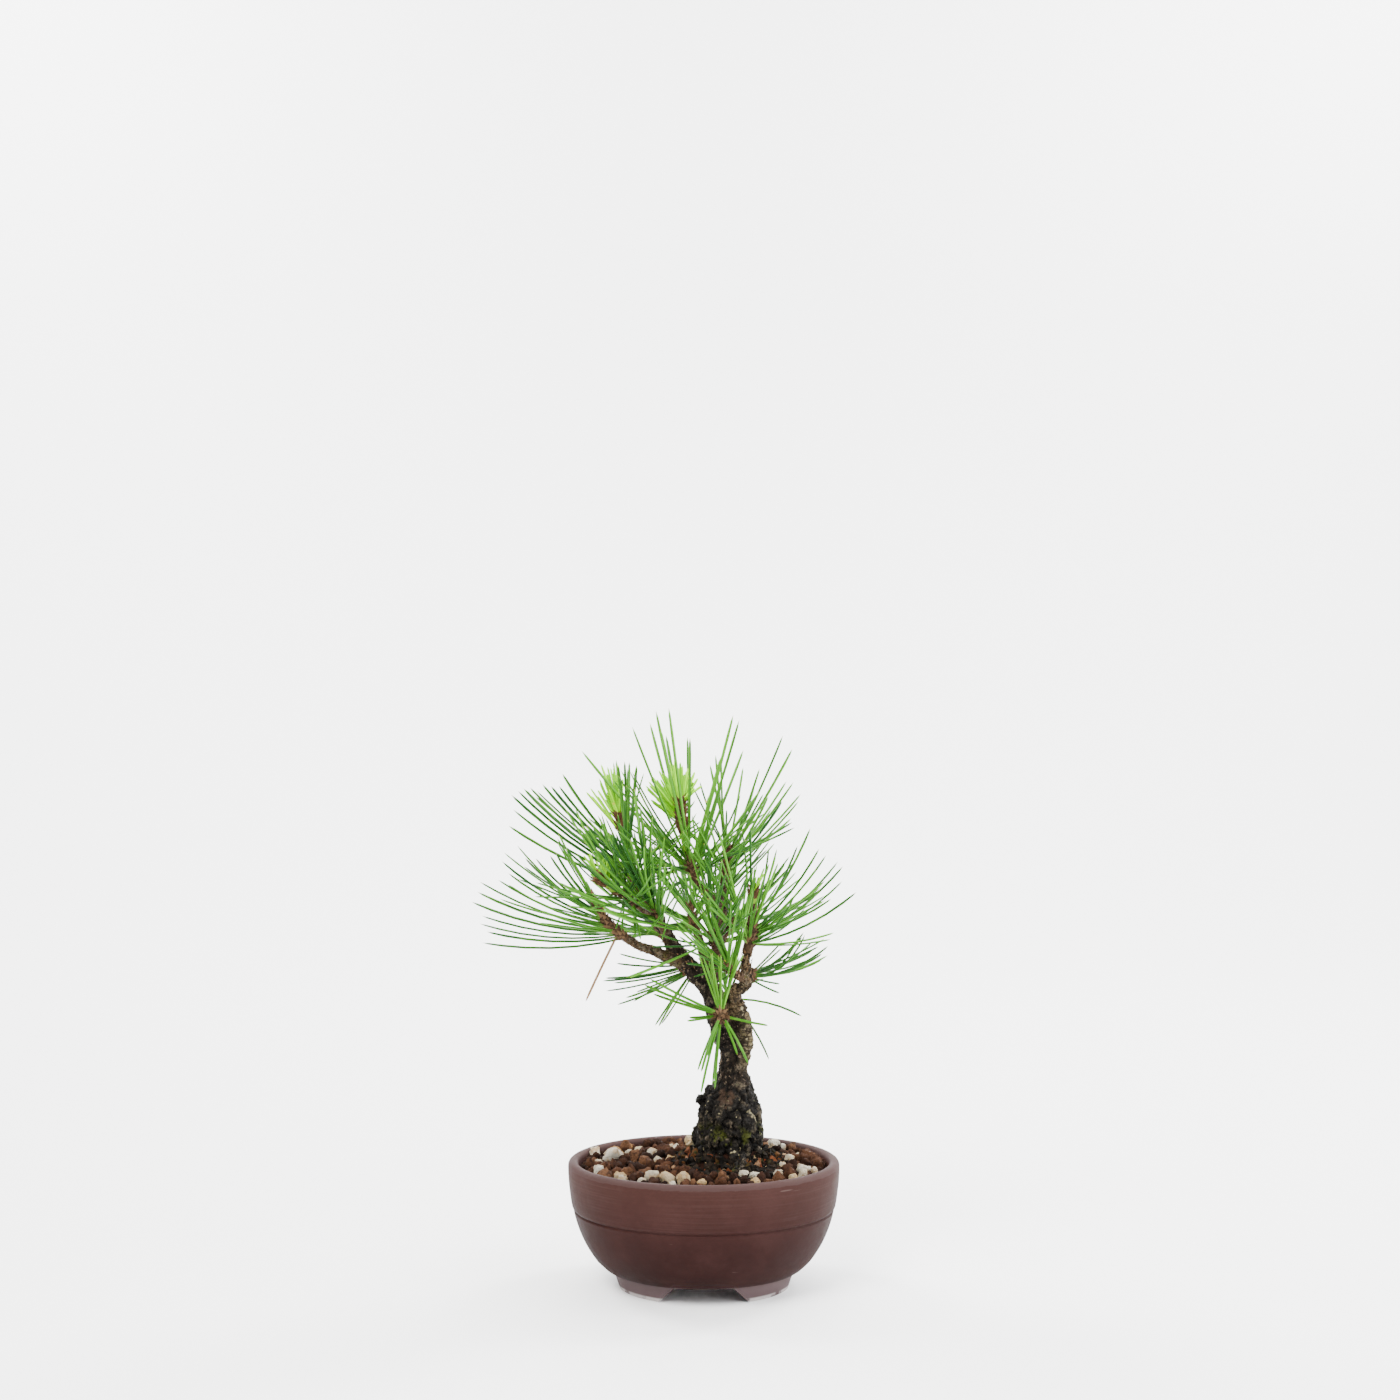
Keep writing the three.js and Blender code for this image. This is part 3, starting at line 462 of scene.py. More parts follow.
class NodeBench:
    """Puts one material's nodes together. Its coordinates are the piece's own, in metres."""

    def __init__(self, name: str, **constants: Value) -> None:
        """Makes the material.

        Args:
            name: its name.
            constants: values of the shader that are the same all over, by socket name, with
                underscores for spaces.
        """
        self.material = bpy.data.materials.new(name)
        self.material.use_nodes = True
        self.tree = self.material.node_tree
        self.shader = self.tree.nodes["Principled BSDF"]
        for key, value in constants.items():
            self.shader.inputs[key.replace("_", " ")].default_value = value
        self.colour: Value = (0.5, 0.5, 0.5)
        self.here = self.add("ShaderNodeTexCoord").outputs["Object"]
        split = self.add("ShaderNodeSeparateXYZ", Vector=self.here)
        self.height = self.math("SUBTRACT", split.outputs["Z"], FOOT_REACH * MM)

    def add(self, kind: str, settings: dict[str, object] | None = None, **inputs: Value) -> Node:
        """Adds a node.

        Args:
            kind: its type.
            settings: values of its own, by name.
            inputs: what its sockets get, by name.

        Returns:
            The node.
        """
        node = self.tree.nodes.new(kind)
        for key, value in (settings or {}).items():
            setattr(node, key, value)
        for key, value in inputs.items():
            self.feed(node.inputs[key], value)
        return node

    def feed(self, socket: NodeSocket, value: Value) -> None:
        """Links a socket to another, or sets its value.

        Args:
            socket: the socket.
            value: another socket, a number, or a tuple: a colour of three parts.
        """
        if isinstance(value, NodeSocket):
            self.tree.links.new(value, socket)
        elif socket.type == "RGBA":
            socket.default_value = (*value, 1.0)
        else:
            socket.default_value = value

    def stretched(self, *scale: float) -> NodeSocket:
        """Returns the piece's coordinates times a scale for each axis."""
        return self.add("ShaderNodeMapping", Vector=self.here, Scale=scale).outputs["Vector"]

    def noise(self, scale: float, detail: float = 4, roughness: float = 0.55, at: Value = None) -> NodeSocket:
        """Returns cloudy noise from 0 to 1, with that many clouds to a metre."""
        inputs = {"Vector": at or self.here, "Scale": scale, "Detail": detail, "Roughness": roughness}
        return self.add("ShaderNodeTexNoise", **inputs).outputs["Fac"]

    def cells(self, scale: float, kind: str = "F1") -> NodeSocket:
        """Returns the distances of a cell pattern, with that many cells to a metre."""
        node = self.add("ShaderNodeTexVoronoi", {"feature": kind}, Vector=self.here, Scale=scale)
        return node.outputs["Distance"]

    def spread(self, value: Value, low: float, high: float, to: Span = (0.0, 1.0)) -> NodeSocket:
        """Stretches a value's span to another, and holds it at the ends.

        Args:
            value: the value.
            low: where the new span begins.
            high: where it ends.
            to: the new span.

        Returns:
            The stretched value.
        """
        node = self.add("ShaderNodeMapRange", {"interpolation_type": "SMOOTHSTEP"})
        names = ("Value", "From Min", "From Max", "To Min", "To Max")
        for key, number in zip(names, (value, low, high, *to)):
            self.feed(node.inputs[key], number)
        return node.outputs["Result"]

    def math(self, operation: str, a: Value, b: Value = 0.0) -> NodeSocket:
        """Works out the sum, maximum or other function of two values.

        Args:
            operation: the node's name for it.
            a: the first value.
            b: the second value.

        Returns:
            The result.
        """
        node = self.add("ShaderNodeMath", {"operation": operation})
        self.feed(node.inputs[0], a)
        self.feed(node.inputs[1], b)
        return node.outputs[0]

    def times(self, a: Value, b: Value) -> NodeSocket:
        """Returns the product of two values."""
        return self.math("MULTIPLY", a, b)

    def mix(self, share: Value, a: Value, b: Value) -> NodeSocket:
        """Mixes two colours.

        Args:
            share: how much of b there is, from 0 to 1.
            a: the colour at 0.
            b: the colour at 1.

        Returns:
            The mixed colour.
        """
        node = self.add("ShaderNodeMix", {"data_type": "RGBA"})
        for index, value in ((0, share), (6, a), (7, b)):
            self.feed(node.inputs[index], value)
        return node.outputs[2]

    def coat(self, paint: Value, mask: Value, strength: Value | None = None) -> None:
        """Lays a colour over the material's own.

        Args:
            paint: the colour.
            mask: how much of it there is, from 0 to 1.
            strength: a second mask, if any.
        """
        share = mask if strength is None else self.times(mask, strength)
        self.colour = self.mix(share, self.colour, paint)

    def ramp(self, value: Value, *stops: tuple[float, Colour]) -> NodeSocket:
        """Reads a colour from a scale.

        Args:
            value: where on the scale.
            stops: pairs of a place and its colour.

        Returns:
            The colour.
        """
        node = self.add("ShaderNodeValToRGB", Fac=value)
        elements = node.color_ramp.elements
        while len(elements) < len(stops):
            elements.new(1.0)
        for element, (place, colour) in zip(elements, stops):
            element.position = place
            element.color = (*colour, 1.0)
        return node.outputs["Color"]

    def attribute(self, name: str) -> NodeSocket:
        """Returns a number that the mesh holds at each corner."""
        return self.add("ShaderNodeAttribute", {"attribute_name": name}).outputs["Fac"]

    def finish(self, roughness: Value, *bumps: tuple[Value, float]) -> Material:
        """Wires the shader.

        Args:
            roughness: the roughness.
            bumps: pairs of a height from 0 to 1 and its real height in millimetres.

        Returns:
            The material.
        """
        self.feed(self.shader.inputs["Base Color"], self.colour)
        self.feed(self.shader.inputs["Roughness"], roughness)
        normal = None
        for height, size in bumps:
            node = self.add("ShaderNodeBump", Height=height, Distance=size * MM, Strength=1.0)
            if normal is not None:
                self.feed(node.inputs["Normal"], normal)
            normal = node.outputs["Normal"]
        if normal is not None:
            self.feed(self.shader.inputs["Normal"], normal)
        return self.material


@dataclass(frozen=True)
class StonewareFinish:
    """Unglazed brown clay: fine throwing lines, pale worn feet, a few chips and specks, with painted shade
    that darkens it towards the foot and in the groove.
    """

    # low, middle and high are the clay's colour by height, painted darker towards the foot as shade
    low: Colour = (0.0096, 0.0013, 0.0009)
    middle: Colour = (0.0150, 0.0036, 0.0028)
    high: Colour = (0.0272, 0.0096, 0.0074)
    lip: Colour = (0.0370, 0.0200, 0.0185)
    foot: Colour = (0.0760, 0.0520, 0.0530)
    worn: Colour = (0.42, 0.38, 0.37)
    cloudy: Colour = (0.044, 0.020, 0.018)
    gritty: Colour = (0.014, 0.0055, 0.0050)
    line: Colour = (0.075, 0.045, 0.042)
    # painted shade for the groove
    groove: Colour = (0.007, 0.003, 0.003)
    chip: Colour = (0.30, 0.25, 0.23)
    scuff: Colour = (0.16, 0.12, 0.11)
    full_height: float = 54 * MM
    lip_from: float = 0.0508

    def material(self) -> Material:
        """Returns the material."""
        make = NodeBench("stoneware", Specular_IOR_Level=0.08)
        z = make.height
        rise = make.times(z, 1 / self.full_height)
        # painted shade: the colour darkens from the top of the bowl down to its foot
        make.colour = make.ramp(rise, (0.10, self.low), (0.5, self.middle), (0.93, self.high))
        cloud = make.noise(38, 5)
        make.coat(self.cloudy, make.spread(cloud, 0.42, 0.72, (0, 0.3)))
        grit = make.noise(1500, 3, 0.7)
        make.coat(self.gritty, make.spread(grit, 0.5, 0.75, (0, 0.28)))
        lines = make.noise(1, 3, 0.6, make.stretched(14, 14, 1500))
        worked = make.spread(make.noise(48, 4, 0.6), 0.36, 0.64, (0.15, 1))
        worked = make.times(make.spread(z, 0.0325, 0.0335), worked)
        faint = make.times(make.spread(lines, 0.45, 0.7), worked)
        make.coat(self.line, faint, 0.10)
        lip_line = make.math("ADD", self.lip_from, make.times(make.noise(260, 4), 0.0012))
        make.coat(self.lip, make.math("GREATER_THAN", z, lip_line), 0.8)
        # painted shade: the groove under the band is darkened
        groove = make.times(make.spread(z, 0.0316, 0.0319), make.spread(z, 0.0325, 0.0322))
        make.coat(self.groove, groove, 0.15)
        make.coat(self.foot, make.spread(z, 0.0060, 0.0052))
        rub = make.times(make.spread(z, -0.0002, -0.0012), make.spread(make.noise(120, 5), 0.36, 0.48))
        make.coat(self.worn, rub, 0.9)
        chosen = make.times(make.math("GREATER_THAN", make.noise(95, 0), 0.60), 0.6)
        make.coat(self.chip, make.spread(make.cells(95), 0.045, 0.03), chosen)
        scratch = make.spread(make.noise(1, 2, 0.5, make.stretched(30, 30, 420)), 0.70, 0.74)
        scuff = make.times(scratch, make.spread(make.noise(60, 2), 0.52, 0.6))
        make.coat(self.scuff, scuff, 0.2)
        roughness = make.spread(cloud, 0.3, 0.7, (0.58, 0.76))
        return make.finish(roughness, (grit, 0.05), (lines, 0.018), (make.noise(190, 4), 0.14))


@dataclass(frozen=True)
class GrainFinish:
    """Grains, each with a tone of its own that picks its colour from a scale."""

    name: str
    stops: tuple[tuple[float, Colour], ...]
    stain: Colour
    stain_share: float
    pore_size: float
    relief: float

    def material(self) -> Material:
        """Returns the material."""
        make = NodeBench(self.name, Specular_IOR_Level=0.06)
        make.colour = make.ramp(make.attribute("tone"), *self.stops)
        patches = make.spread(make.noise(330, 4), 0.47, 0.64, (0, self.stain_share))
        make.coat(self.stain, patches)
        pores = make.cells(1000 / self.pore_size)
        make.coat(tuple(c * 0.4 for c in self.stain), make.spread(pores, 0.35, 0.1, (0, 0.5)))
        lumps = make.noise(700, 5, 0.7)
        sand = make.noise(1900, 5, 0.7)
        return make.finish(
            0.92, (sand, self.relief), (lumps, self.relief * 3.2), (pores, self.relief * 1.5))


FIRED_CLAY = GrainFinish("fired_clay", (
    (0.0, (0.0070, 0.0032, 0.0020)), (0.3, (0.020, 0.0082, 0.0044)), (0.75, (0.044, 0.0185, 0.0092)),
    (1.0, (0.078, 0.0370, 0.0185)),
), stain=(0.009, 0.0038, 0.0024), stain_share=0.75, pore_size=0.9, relief=0.2)
PUMICE = GrainFinish("pumice", (
    (0.0, (0.20, 0.085, 0.028)), (0.25, (0.24, 0.160, 0.075)), (0.6, (0.27, 0.225, 0.150)),
    (1.0, (0.37, 0.345, 0.285)),
), stain=(0.235, 0.125, 0.036), stain_share=0.6, pore_size=0.7, relief=0.26)
WET_FINES = GrainFinish("wet_fines", (
    (0.0, (0.0030, 0.0026, 0.0021)), (0.5, (0.0085, 0.0062, 0.0042)), (0.72, (0.018, 0.0110, 0.0065)),
    (0.84, (0.018, 0.0190, 0.0055)), (0.92, (0.095, 0.0230, 0.0085)), (1.0, (0.26, 0.200, 0.115)),
), stain=(0.0040, 0.0032, 0.0025), stain_share=0.5, pore_size=0.6, relief=0.12)


@dataclass(frozen=True)
class SoilBedFinish:
    """The fine soil between the grains, partly its own dark colour and partly painted shade for the gaps
    between the grains.
    """

    dark: Colour = (0.0045, 0.0025, 0.0018)
    light: Colour = (0.021, 0.0085, 0.0052)

    def material(self) -> Material:
        """Returns the material."""
        make = NodeBench("soil_bed", Specular_IOR_Level=0.03)
        clumps = make.noise(520, 6, 0.65)
        # painted shade: the bed is made near black so that the gaps between the grains read dark
        make.colour = make.mix(make.spread(clumps, 0.4, 0.68), self.dark, self.light)
        return make.finish(0.95, (clumps, 0.9), (make.noise(2200, 4, 0.7), 0.2))


@dataclass(frozen=True)
class BarkFinish:
    """Bark that darkens and breaks into plates with age, and is ringed on the paler limb, with painted shade
    in the cracks between its plates.
    """

    twig: Colour = (0.0780, 0.0450, 0.0210)
    stem: Colour = (0.0185, 0.0125, 0.0078)
    old: Colour = (0.0092, 0.0078, 0.0060)
    tan: Colour = (0.1480, 0.1180, 0.0620)
    warm: Colour = (0.1450, 0.1000, 0.0530)
    flake: Colour = (0.0900, 0.0720, 0.0480)
    fleck: Colour = (0.155, 0.115, 0.078)
    blotch: Colour = (0.0120, 0.0085, 0.0050)
    cream: Colour = (0.26, 0.22, 0.13)
    ring: Colour = (0.0130, 0.0095, 0.0058)
    scar: Colour = (0.0360, 0.0215, 0.0135)
    moss: Colour = (0.0420, 0.0480, 0.0060)
    lichen: Colour = (0.2300, 0.2000, 0.1150)
    black: Colour = (0.0026, 0.0021, 0.0017)

    def material(self) -> Material:
        """Returns the material."""
        make = NodeBench("bark", Specular_IOR_Level=0.07)
        z = make.height
        age, tan, crack, scar, tuft = map(make.attribute, ("age", "tan", "crack", "scar", "moss"))
        make.colour = make.ramp(age, (0.0, self.twig), (0.5, self.stem), (0.92, self.old))
        young = make.spread(age, 0.55, 0.35)
        green = make.times(make.spread(make.noise(210, 4, 0.6), 0.50, 0.62, (0, 0.7)), young)
        make.coat(self.moss, green)
        pale = make.mix(make.spread(z, 0.114, 0.124), self.tan, self.warm)
        make.coat(pale, tan, 0.95)
        patches = make.spread(make.noise(230, 6, 0.65), 0.52, 0.62)
        make.coat(self.flake, patches, make.spread(age, 0.75, 1.0, (0.9, 0.72)))
        speckle = make.noise(1300, 4, 0.7)
        make.coat(self.black, make.spread(speckle, 0.47, 0.64, (0, 0.88)))
        above = make.spread(z, 0.080, 0.094)
        gloom = make.times(make.spread(make.noise(260, 4, 0.6), 0.52, 0.60, (0, 0.75)), above)
        make.coat(self.black, gloom)
        fleck = make.times(make.spread(make.noise(560, 4, 0.65), 0.57, 0.64), above)
        make.coat(self.fleck, fleck, 0.75)
        blotch = make.spread(make.noise(300, 5, 0.65), 0.45, 0.55, (0, 0.92))
        make.coat(self.blotch, blotch, tan)
        cream = make.spread(make.noise(520, 3, 0.6), 0.60, 0.68, (0, 0.85))
        make.coat(self.cream, cream, tan)
        along = {"W": make.attribute("run"), "Scale": 0.95, "Detail": 3.0}
        rings = make.add("ShaderNodeTexNoise", {"noise_dimensions": "1D"}, **along).outputs["Fac"]
        ringed = make.times(tan, make.spread(z, 0.122, 0.113, (0.2, 0.8)))
        make.coat(self.ring, make.spread(rings, 0.5, 0.6), ringed)
        # painted shade: the cracks between the bark plates are painted near black
        make.coat(self.black, crack, 0.95)
        bare = make.times(scar, make.spread(make.noise(480, 5, 0.7), 0.36, 0.5, (0.25, 0.9)))
        make.coat(self.scar, bare)
        low = make.times(make.spread(z, 0.074, 0.064), make.spread(make.noise(150, 5, 0.6), 0.53, 0.61))
        grown = make.times(tuft, make.spread(make.noise(620, 4, 0.6), 0.42, 0.56))
        make.coat(self.moss, make.math("MAXIMUM", low, grown), 0.68)
        crust = make.times(make.spread(make.noise(215, 2), 0.655, 0.685), make.spread(z, 0.100, 0.068))
        make.coat(self.lichen, crust, 0.85)
        damp = make.spread(age, 0.5, 0.9, (0.86, 0.62))
        chips = make.times(make.spread(make.cells(430, "DISTANCE_TO_EDGE"), 0.0, 0.1), age)
        ridges = make.times(rings, ringed)
        coarse = make.noise(560, 5, 0.65)
        return make.finish(damp, (speckle, 0.25), (coarse, 0.55), (ridges, 0.5), (chips, 0.5))


@dataclass(frozen=True)
class NeedleFinish:
    """A needle: dark to light from one to the next, with a paler foot, a yellow point and painted shade along
    its two edges.
    """

    name: str
    slot: Slot
    deep: Colour
    bright: Colour
    foot: Colour
    point: Colour
    roughness: float = 0.45
    gloss: float = 0.06
    resin: Colour = (0.40, 0.30, 0.03)

    def material(self) -> Material:
        """Returns the material."""
        make = NodeBench(self.name, Specular_IOR_Level=self.gloss)
        along = make.attribute("along")
        make.colour = make.ramp(make.attribute("tone"), (0.0, self.deep), (1.0, self.bright))
        make.coat(self.bright, make.spread(make.noise(70, 3), 0.45, 0.75, (0, 0.4)))
        # painted shade: the two long edges of each needle are darkened, so that its middle reads as a lit
        # streak
        edge = make.spread(make.math("ABSOLUTE", make.attribute("side")), 0.5, 1.0, (0, 0.75))
        make.coat(self.deep, edge)
        make.coat(self.foot, make.spread(along, 0.14, 0.02))
        make.coat(self.point, make.spread(along, 0.97, 0.995))
        spot = make.spread(make.cells(75), 0.06, 0.035)
        make.coat(self.resin, spot, 0.75)
        streaks = make.noise(1, 2, 0.5, make.stretched(900, 900, 260))
        return make.finish(self.roughness, (streaks, 0.03))


MATURE = NeedleFinish(
    "mature_needle", Slot.NEEDLES, deep=(0.0095, 0.0480, 0.0068), bright=(0.0880, 0.2720, 0.0185),
    foot=(0.080, 0.170, 0.025), point=(0.22, 0.23, 0.045),
)
PALE = NeedleFinish(
    "pale_needle", Slot.PALE_NEEDLES, deep=(0.0280, 0.1150, 0.0060), bright=(0.1250, 0.3250, 0.0210),
    foot=(0.13, 0.24, 0.030), point=(0.30, 0.28, 0.055),
)
YOUNG = NeedleFinish(
    "young_needle", Slot.YOUNG_NEEDLES, deep=(0.0600, 0.2500, 0.0002), bright=(0.3300, 0.7200, 0.0010),
    foot=(0.08, 0.20, 0.003), point=(0.50, 0.70, 0.030), gloss=0.04,
)
DEAD = NeedleFinish(
    "dead_needle", Slot.NEEDLES, deep=(0.14, 0.082, 0.042), bright=(0.20, 0.120, 0.062),
    foot=(0.06, 0.032, 0.018), point=(0.17, 0.100, 0.055), roughness=0.7, gloss=0.1,
)


@dataclass(frozen=True)
class ScaleFinish:
    """The brown papery scales and sheaths at the feet of the needles."""

    name: str
    dark: Colour
    light: Colour

    def material(self) -> Material:
        """Returns the material."""
        make = NodeBench(self.name, Specular_IOR_Level=0.1)
        mottle = make.noise(900, 4, 0.65)
        share = make.times(make.math("ADD", make.attribute("tone"), mottle), 0.55)
        make.colour = make.mix(make.spread(share, 0.15, 0.8), self.dark, self.light)
        return make.finish(0.8, (mottle, 0.12))


SHOOT_BARK = ScaleFinish("shoot_bark", (0.013, 0.0075, 0.0040), (0.120, 0.0680, 0.0340))
GREEN_STEM = ScaleFinish("green_stem", (0.085, 0.190, 0.0080), (0.190, 0.340, 0.0240))
RED_SCALES = ScaleFinish("red_scales", (0.020, 0.0095, 0.0045), (0.100, 0.0500, 0.0220))


@dataclass(frozen=True)
class PlainFinish:
    """A moulded or drawn surface with a fine grain: netting or wire."""

    name: str
    colour: Colour
    shade: Colour
    roughness: float
    metallic: float

    def material(self) -> Material:
        """Returns the material."""
        make = NodeBench(self.name, Metallic=self.metallic)
        grain = make.noise(1400, 4, 0.6)
        make.colour = make.mix(make.spread(grain, 0.42, 0.66), self.colour, self.shade)
        roughness = make.spread(grain, 0.3, 0.7, (self.roughness, self.roughness + 0.18))
        return make.finish(roughness, (grain, 0.03))


# ---- pot
@dataclass
class Pot:
    """The oval bowl with its lip, its groove and its four feet."""

    depth_ratio: float = 0.79
    height: float = 53.6
    lip: float = 4.5
    floor_top: float = 10.5
    foot_height: float = 5.5
    foot_half_width: float = 39.0
    foot_splay: float = 2.0
    foot_band: float = 7.5
    front_gap: Span = (39.5, 24.5)
    side_gap: Span = (19.0, 11.0)
    drain_x: float = 18.0
    drain_radius: float = 5.0
    steps: int = 176
    bowl: tuple[Span, ...] = (
        (5.5, 43.2), (6.6, 44.9), (8.4, 46.9), (10.2, 48.7), (12.4, 50.3), (15, 52.0), (18, 53.7), (21, 55.1),
        (24, 56.3), (27, 57.3), (29.5, 58.0), (31.3, 58.4),
    )
    groove: tuple[Span, ...] = ((31.7, 58.1), (32.1, 57.95), (32.5, 58.2), (32.9, 58.85), (33.5, 59.15))
    band: tuple[Span, ...] = ((33.5, 59.15), (36, 59.65), (40, 60.2), (44, 60.65), (48, 60.95), (50.8, 61.0))
    throwing: tuple[float, float, float] = (34.1, 50.4, 0.62)  # heights of the marks: from, to and apart
    throwing_depth: float = 0.022
    rim: tuple[Place, ...] = (  # radius, height, inset from the outside
        (61.0, 50.9, 0), (60.9, 52.0, 0.1), (60.45, 52.9, 0.55), (59.7, 53.45, 1.3), (58.8, 53.6, 2.2),
        (57.8, 53.5, 3.2), (56.95, 53.1, 4.05), (56.5, 52.4, 4.5),
    )
    hollow: tuple[Span, ...] = (
        (10.5, 40), (11.4, 43.2), (14, 46.2), (18, 48.9), (22, 50.7), (28, 52.8), (35, 54.5), (44, 55.7),
        (51.6, 56.3),
    )

    def wall(self) -> list[Place]:
        """Returns the section of the bowl as (radius, height, inset from the outside)."""
        chance = random.Random(11)
        points = [(0.0, self.foot_height, 0.0)]
        points += [(r, z, 0.0) for z, r in (*self.bowl, *self.groove)]
        heights = np.arange(*self.throwing)
        marks = [chance.uniform(-self.throwing_depth, self.throwing_depth) for _ in heights]
        radii = np.interp(heights, *zip(*self.band))
        points += [(float(r) + mark, float(z), 0.0) for z, r, mark in zip(heights, radii, marks)]
        points += self.rim
        points += [(r, z, self.lip) for z, r in reversed(self.hollow)]
        return points + [(0.0, self.floor_top, self.lip)]

    def turned(self, section: Iterable[Place], closed: bool = False) -> BMesh:
        """Spins a section round the middle and squeezes it to the oval.

        Args:
            section: points of (radius, height, inset from the outside).
            closed: joins the last point to the first, for a ring.

        Returns:
            The closed mesh, with its normals outwards.
        """
        bm = bmesh.new()
        inset = bm.verts.layers.float.new("inset")
        chain = []
        for r, z, depth in section:
            corner = bm.verts.new((r, 0, z))
            corner[inset] = depth
            chain.append(corner)
        pairs = list(zip(chain, chain[1:])) + ([(chain[-1], chain[0])] if closed else [])
        edges = [bm.edges.new(pair) for pair in pairs]
        bmesh.ops.spin(
            bm, geom=chain + edges, cent=(0, 0, 0), axis=(0, 0, 1), dvec=(0, 0, 0), angle=FULL_TURN,
            steps=self.steps, use_merge=True, use_normal_flip=False, use_duplicate=False,
        )
        bmesh.ops.remove_doubles(bm, verts=bm.verts[:], dist=1e-4)
        for v in bm.verts:
            r, turn = math.hypot(v.co.x, v.co.y), math.atan2(v.co.y, v.co.x)
            v.co.y = ((r + v[inset]) * self.depth_ratio - v[inset]) * math.sin(turn) if r > 1e-6 else 0.0
        bmesh.ops.recalc_face_normals(bm, faces=bm.faces[:])
        put_in_order(bm)
        return bm

    def foot_ring(self) -> BMesh:
        """Returns the ring of four feet, cut apart by two sloping openings and softened."""
        outside, band, ground = self.foot_half_width, self.foot_band, -FOOT_REACH
        inside, splayed, top = outside - band, outside + self.foot_splay, self.foot_height + 1.5
        ring = self.turned([
            (inside, ground, band), (outside - 0.4, ground, 0), (outside, ground + 0.4, 0),
            (outside + 0.9, 1.8, 0), (splayed, self.foot_height, 0), (splayed + 0.6, top, 0),
            (inside, top, band),
        ], closed=True)
        for (low, high), turn in ((self.front_gap, 0.0), (self.side_gap, math.pi / 2)):
            ring = joined(ring, self.opening(low, high, turn), "DIFFERENCE")
        return modified(ring, "BEVEL", {
            "width": 0.35, "segments": 2, "limit_method": "ANGLE", "angle_limit": math.radians(38)})

    def opening(self, low: float, high: float, turn: float) -> BMesh:
        """Makes the bar that is cut out between the feet.

        Args:
            low: its width at the foot of the bowl's feet.
            high: its width at their top.
            turn: its turn about the middle, in radians.

        Returns:
            The bar, which runs right through.
        """
        bm = bmesh.new()
        bmesh.ops.create_cube(bm, size=1.0)
        below = low + (low - high) / (self.foot_height + FOOT_REACH)
        for v in bm.verts:
            width, z = (high, self.foot_height) if v.co.z > 0 else (below, -FOOT_REACH - 1)
            v.co = Vector((math.copysign(width / 2, v.co.x), v.co.y * 120, z))
        bmesh.ops.rotate(bm, verts=bm.verts[:], cent=(0, 0, 0), matrix=Matrix.Rotation(turn, 3, "Z"))
        return bm

    def build(self, bench: Bench) -> None:
        """Makes the pot.

        Args:
            bench: publishes it.
        """
        pot = joined(self.turned(self.wall()), self.foot_ring(), "UNION")
        for side in (-1, 1):
            drain = bmesh.new()
            bmesh.ops.create_cone(
                drain, cap_ends=True, segments=40, radius1=self.drain_radius, radius2=self.drain_radius,
                depth=9, matrix=Matrix.Translation((side * self.drain_x, 0, self.foot_height + 2.5)))
            pot = joined(pot, drain, "DIFFERENCE")
        bench.publish("stoneware_pot", pot, StonewareFinish().material(), "pot", crease=34)


# ---- drain screens and wires
@dataclass
class Drainage:
    """The netting over each drain hole and the wire staple that holds it."""

    drain_x: float = 18.0
    radius: float = 0.5
    half: tuple[Span, ...] = (  # the right half of the wire, from its foot to the middle of its back
        (8.8, 4.55), (6.4, 4.55), (4.3, 4.55), (3.66, 4.81), (3.4, 5.45), (3.4, 8.3), (3.4, 11.3),
        (3.14, 11.94), (2.5, 12.2),
    )

    def build(self, bench: Bench) -> None:
        """Dresses the netting and makes the two wires.

        Args:
            bench: publishes them.
        """
        netting = PlainFinish("netting", (0.010, 0.014, 0.010), (0.022, 0.029, 0.022), 0.5, 0.0).material()
        wire = PlainFinish("wire", (0.42, 0.33, 0.24), (0.30, 0.22, 0.15), 0.32, 1.0).material()
        for side, x in (("left", -self.drain_x), ("right", self.drain_x)):
            node = frame["nodes"][f"drain_screen_{side}"]
            for slot in node.material_slots:
                slot.material = netting
            bm = bmesh.new()
            route = [*self.half, *((-dx, z) for dx, z in reversed(self.half))]
            centres = [Vector((x + dx, 0, z)) for dx, z in route]
            stations = stations_on(centres, [self.radius] * len(centres), Vector((0, 1, 0)))
            template = tube_template(12, len(stations) - 1)
            sweep(bm, template, stations)
            bench.publish(f"staple_{side}", bm, wire, f"screen_wire_{side}")


# ---- soil
@dataclass(frozen=True)
class Grain:
    """One grain in the surface: its place, its length and its tone from 0 to 1."""

    x: float
    y: float
    size: float
    tone: float


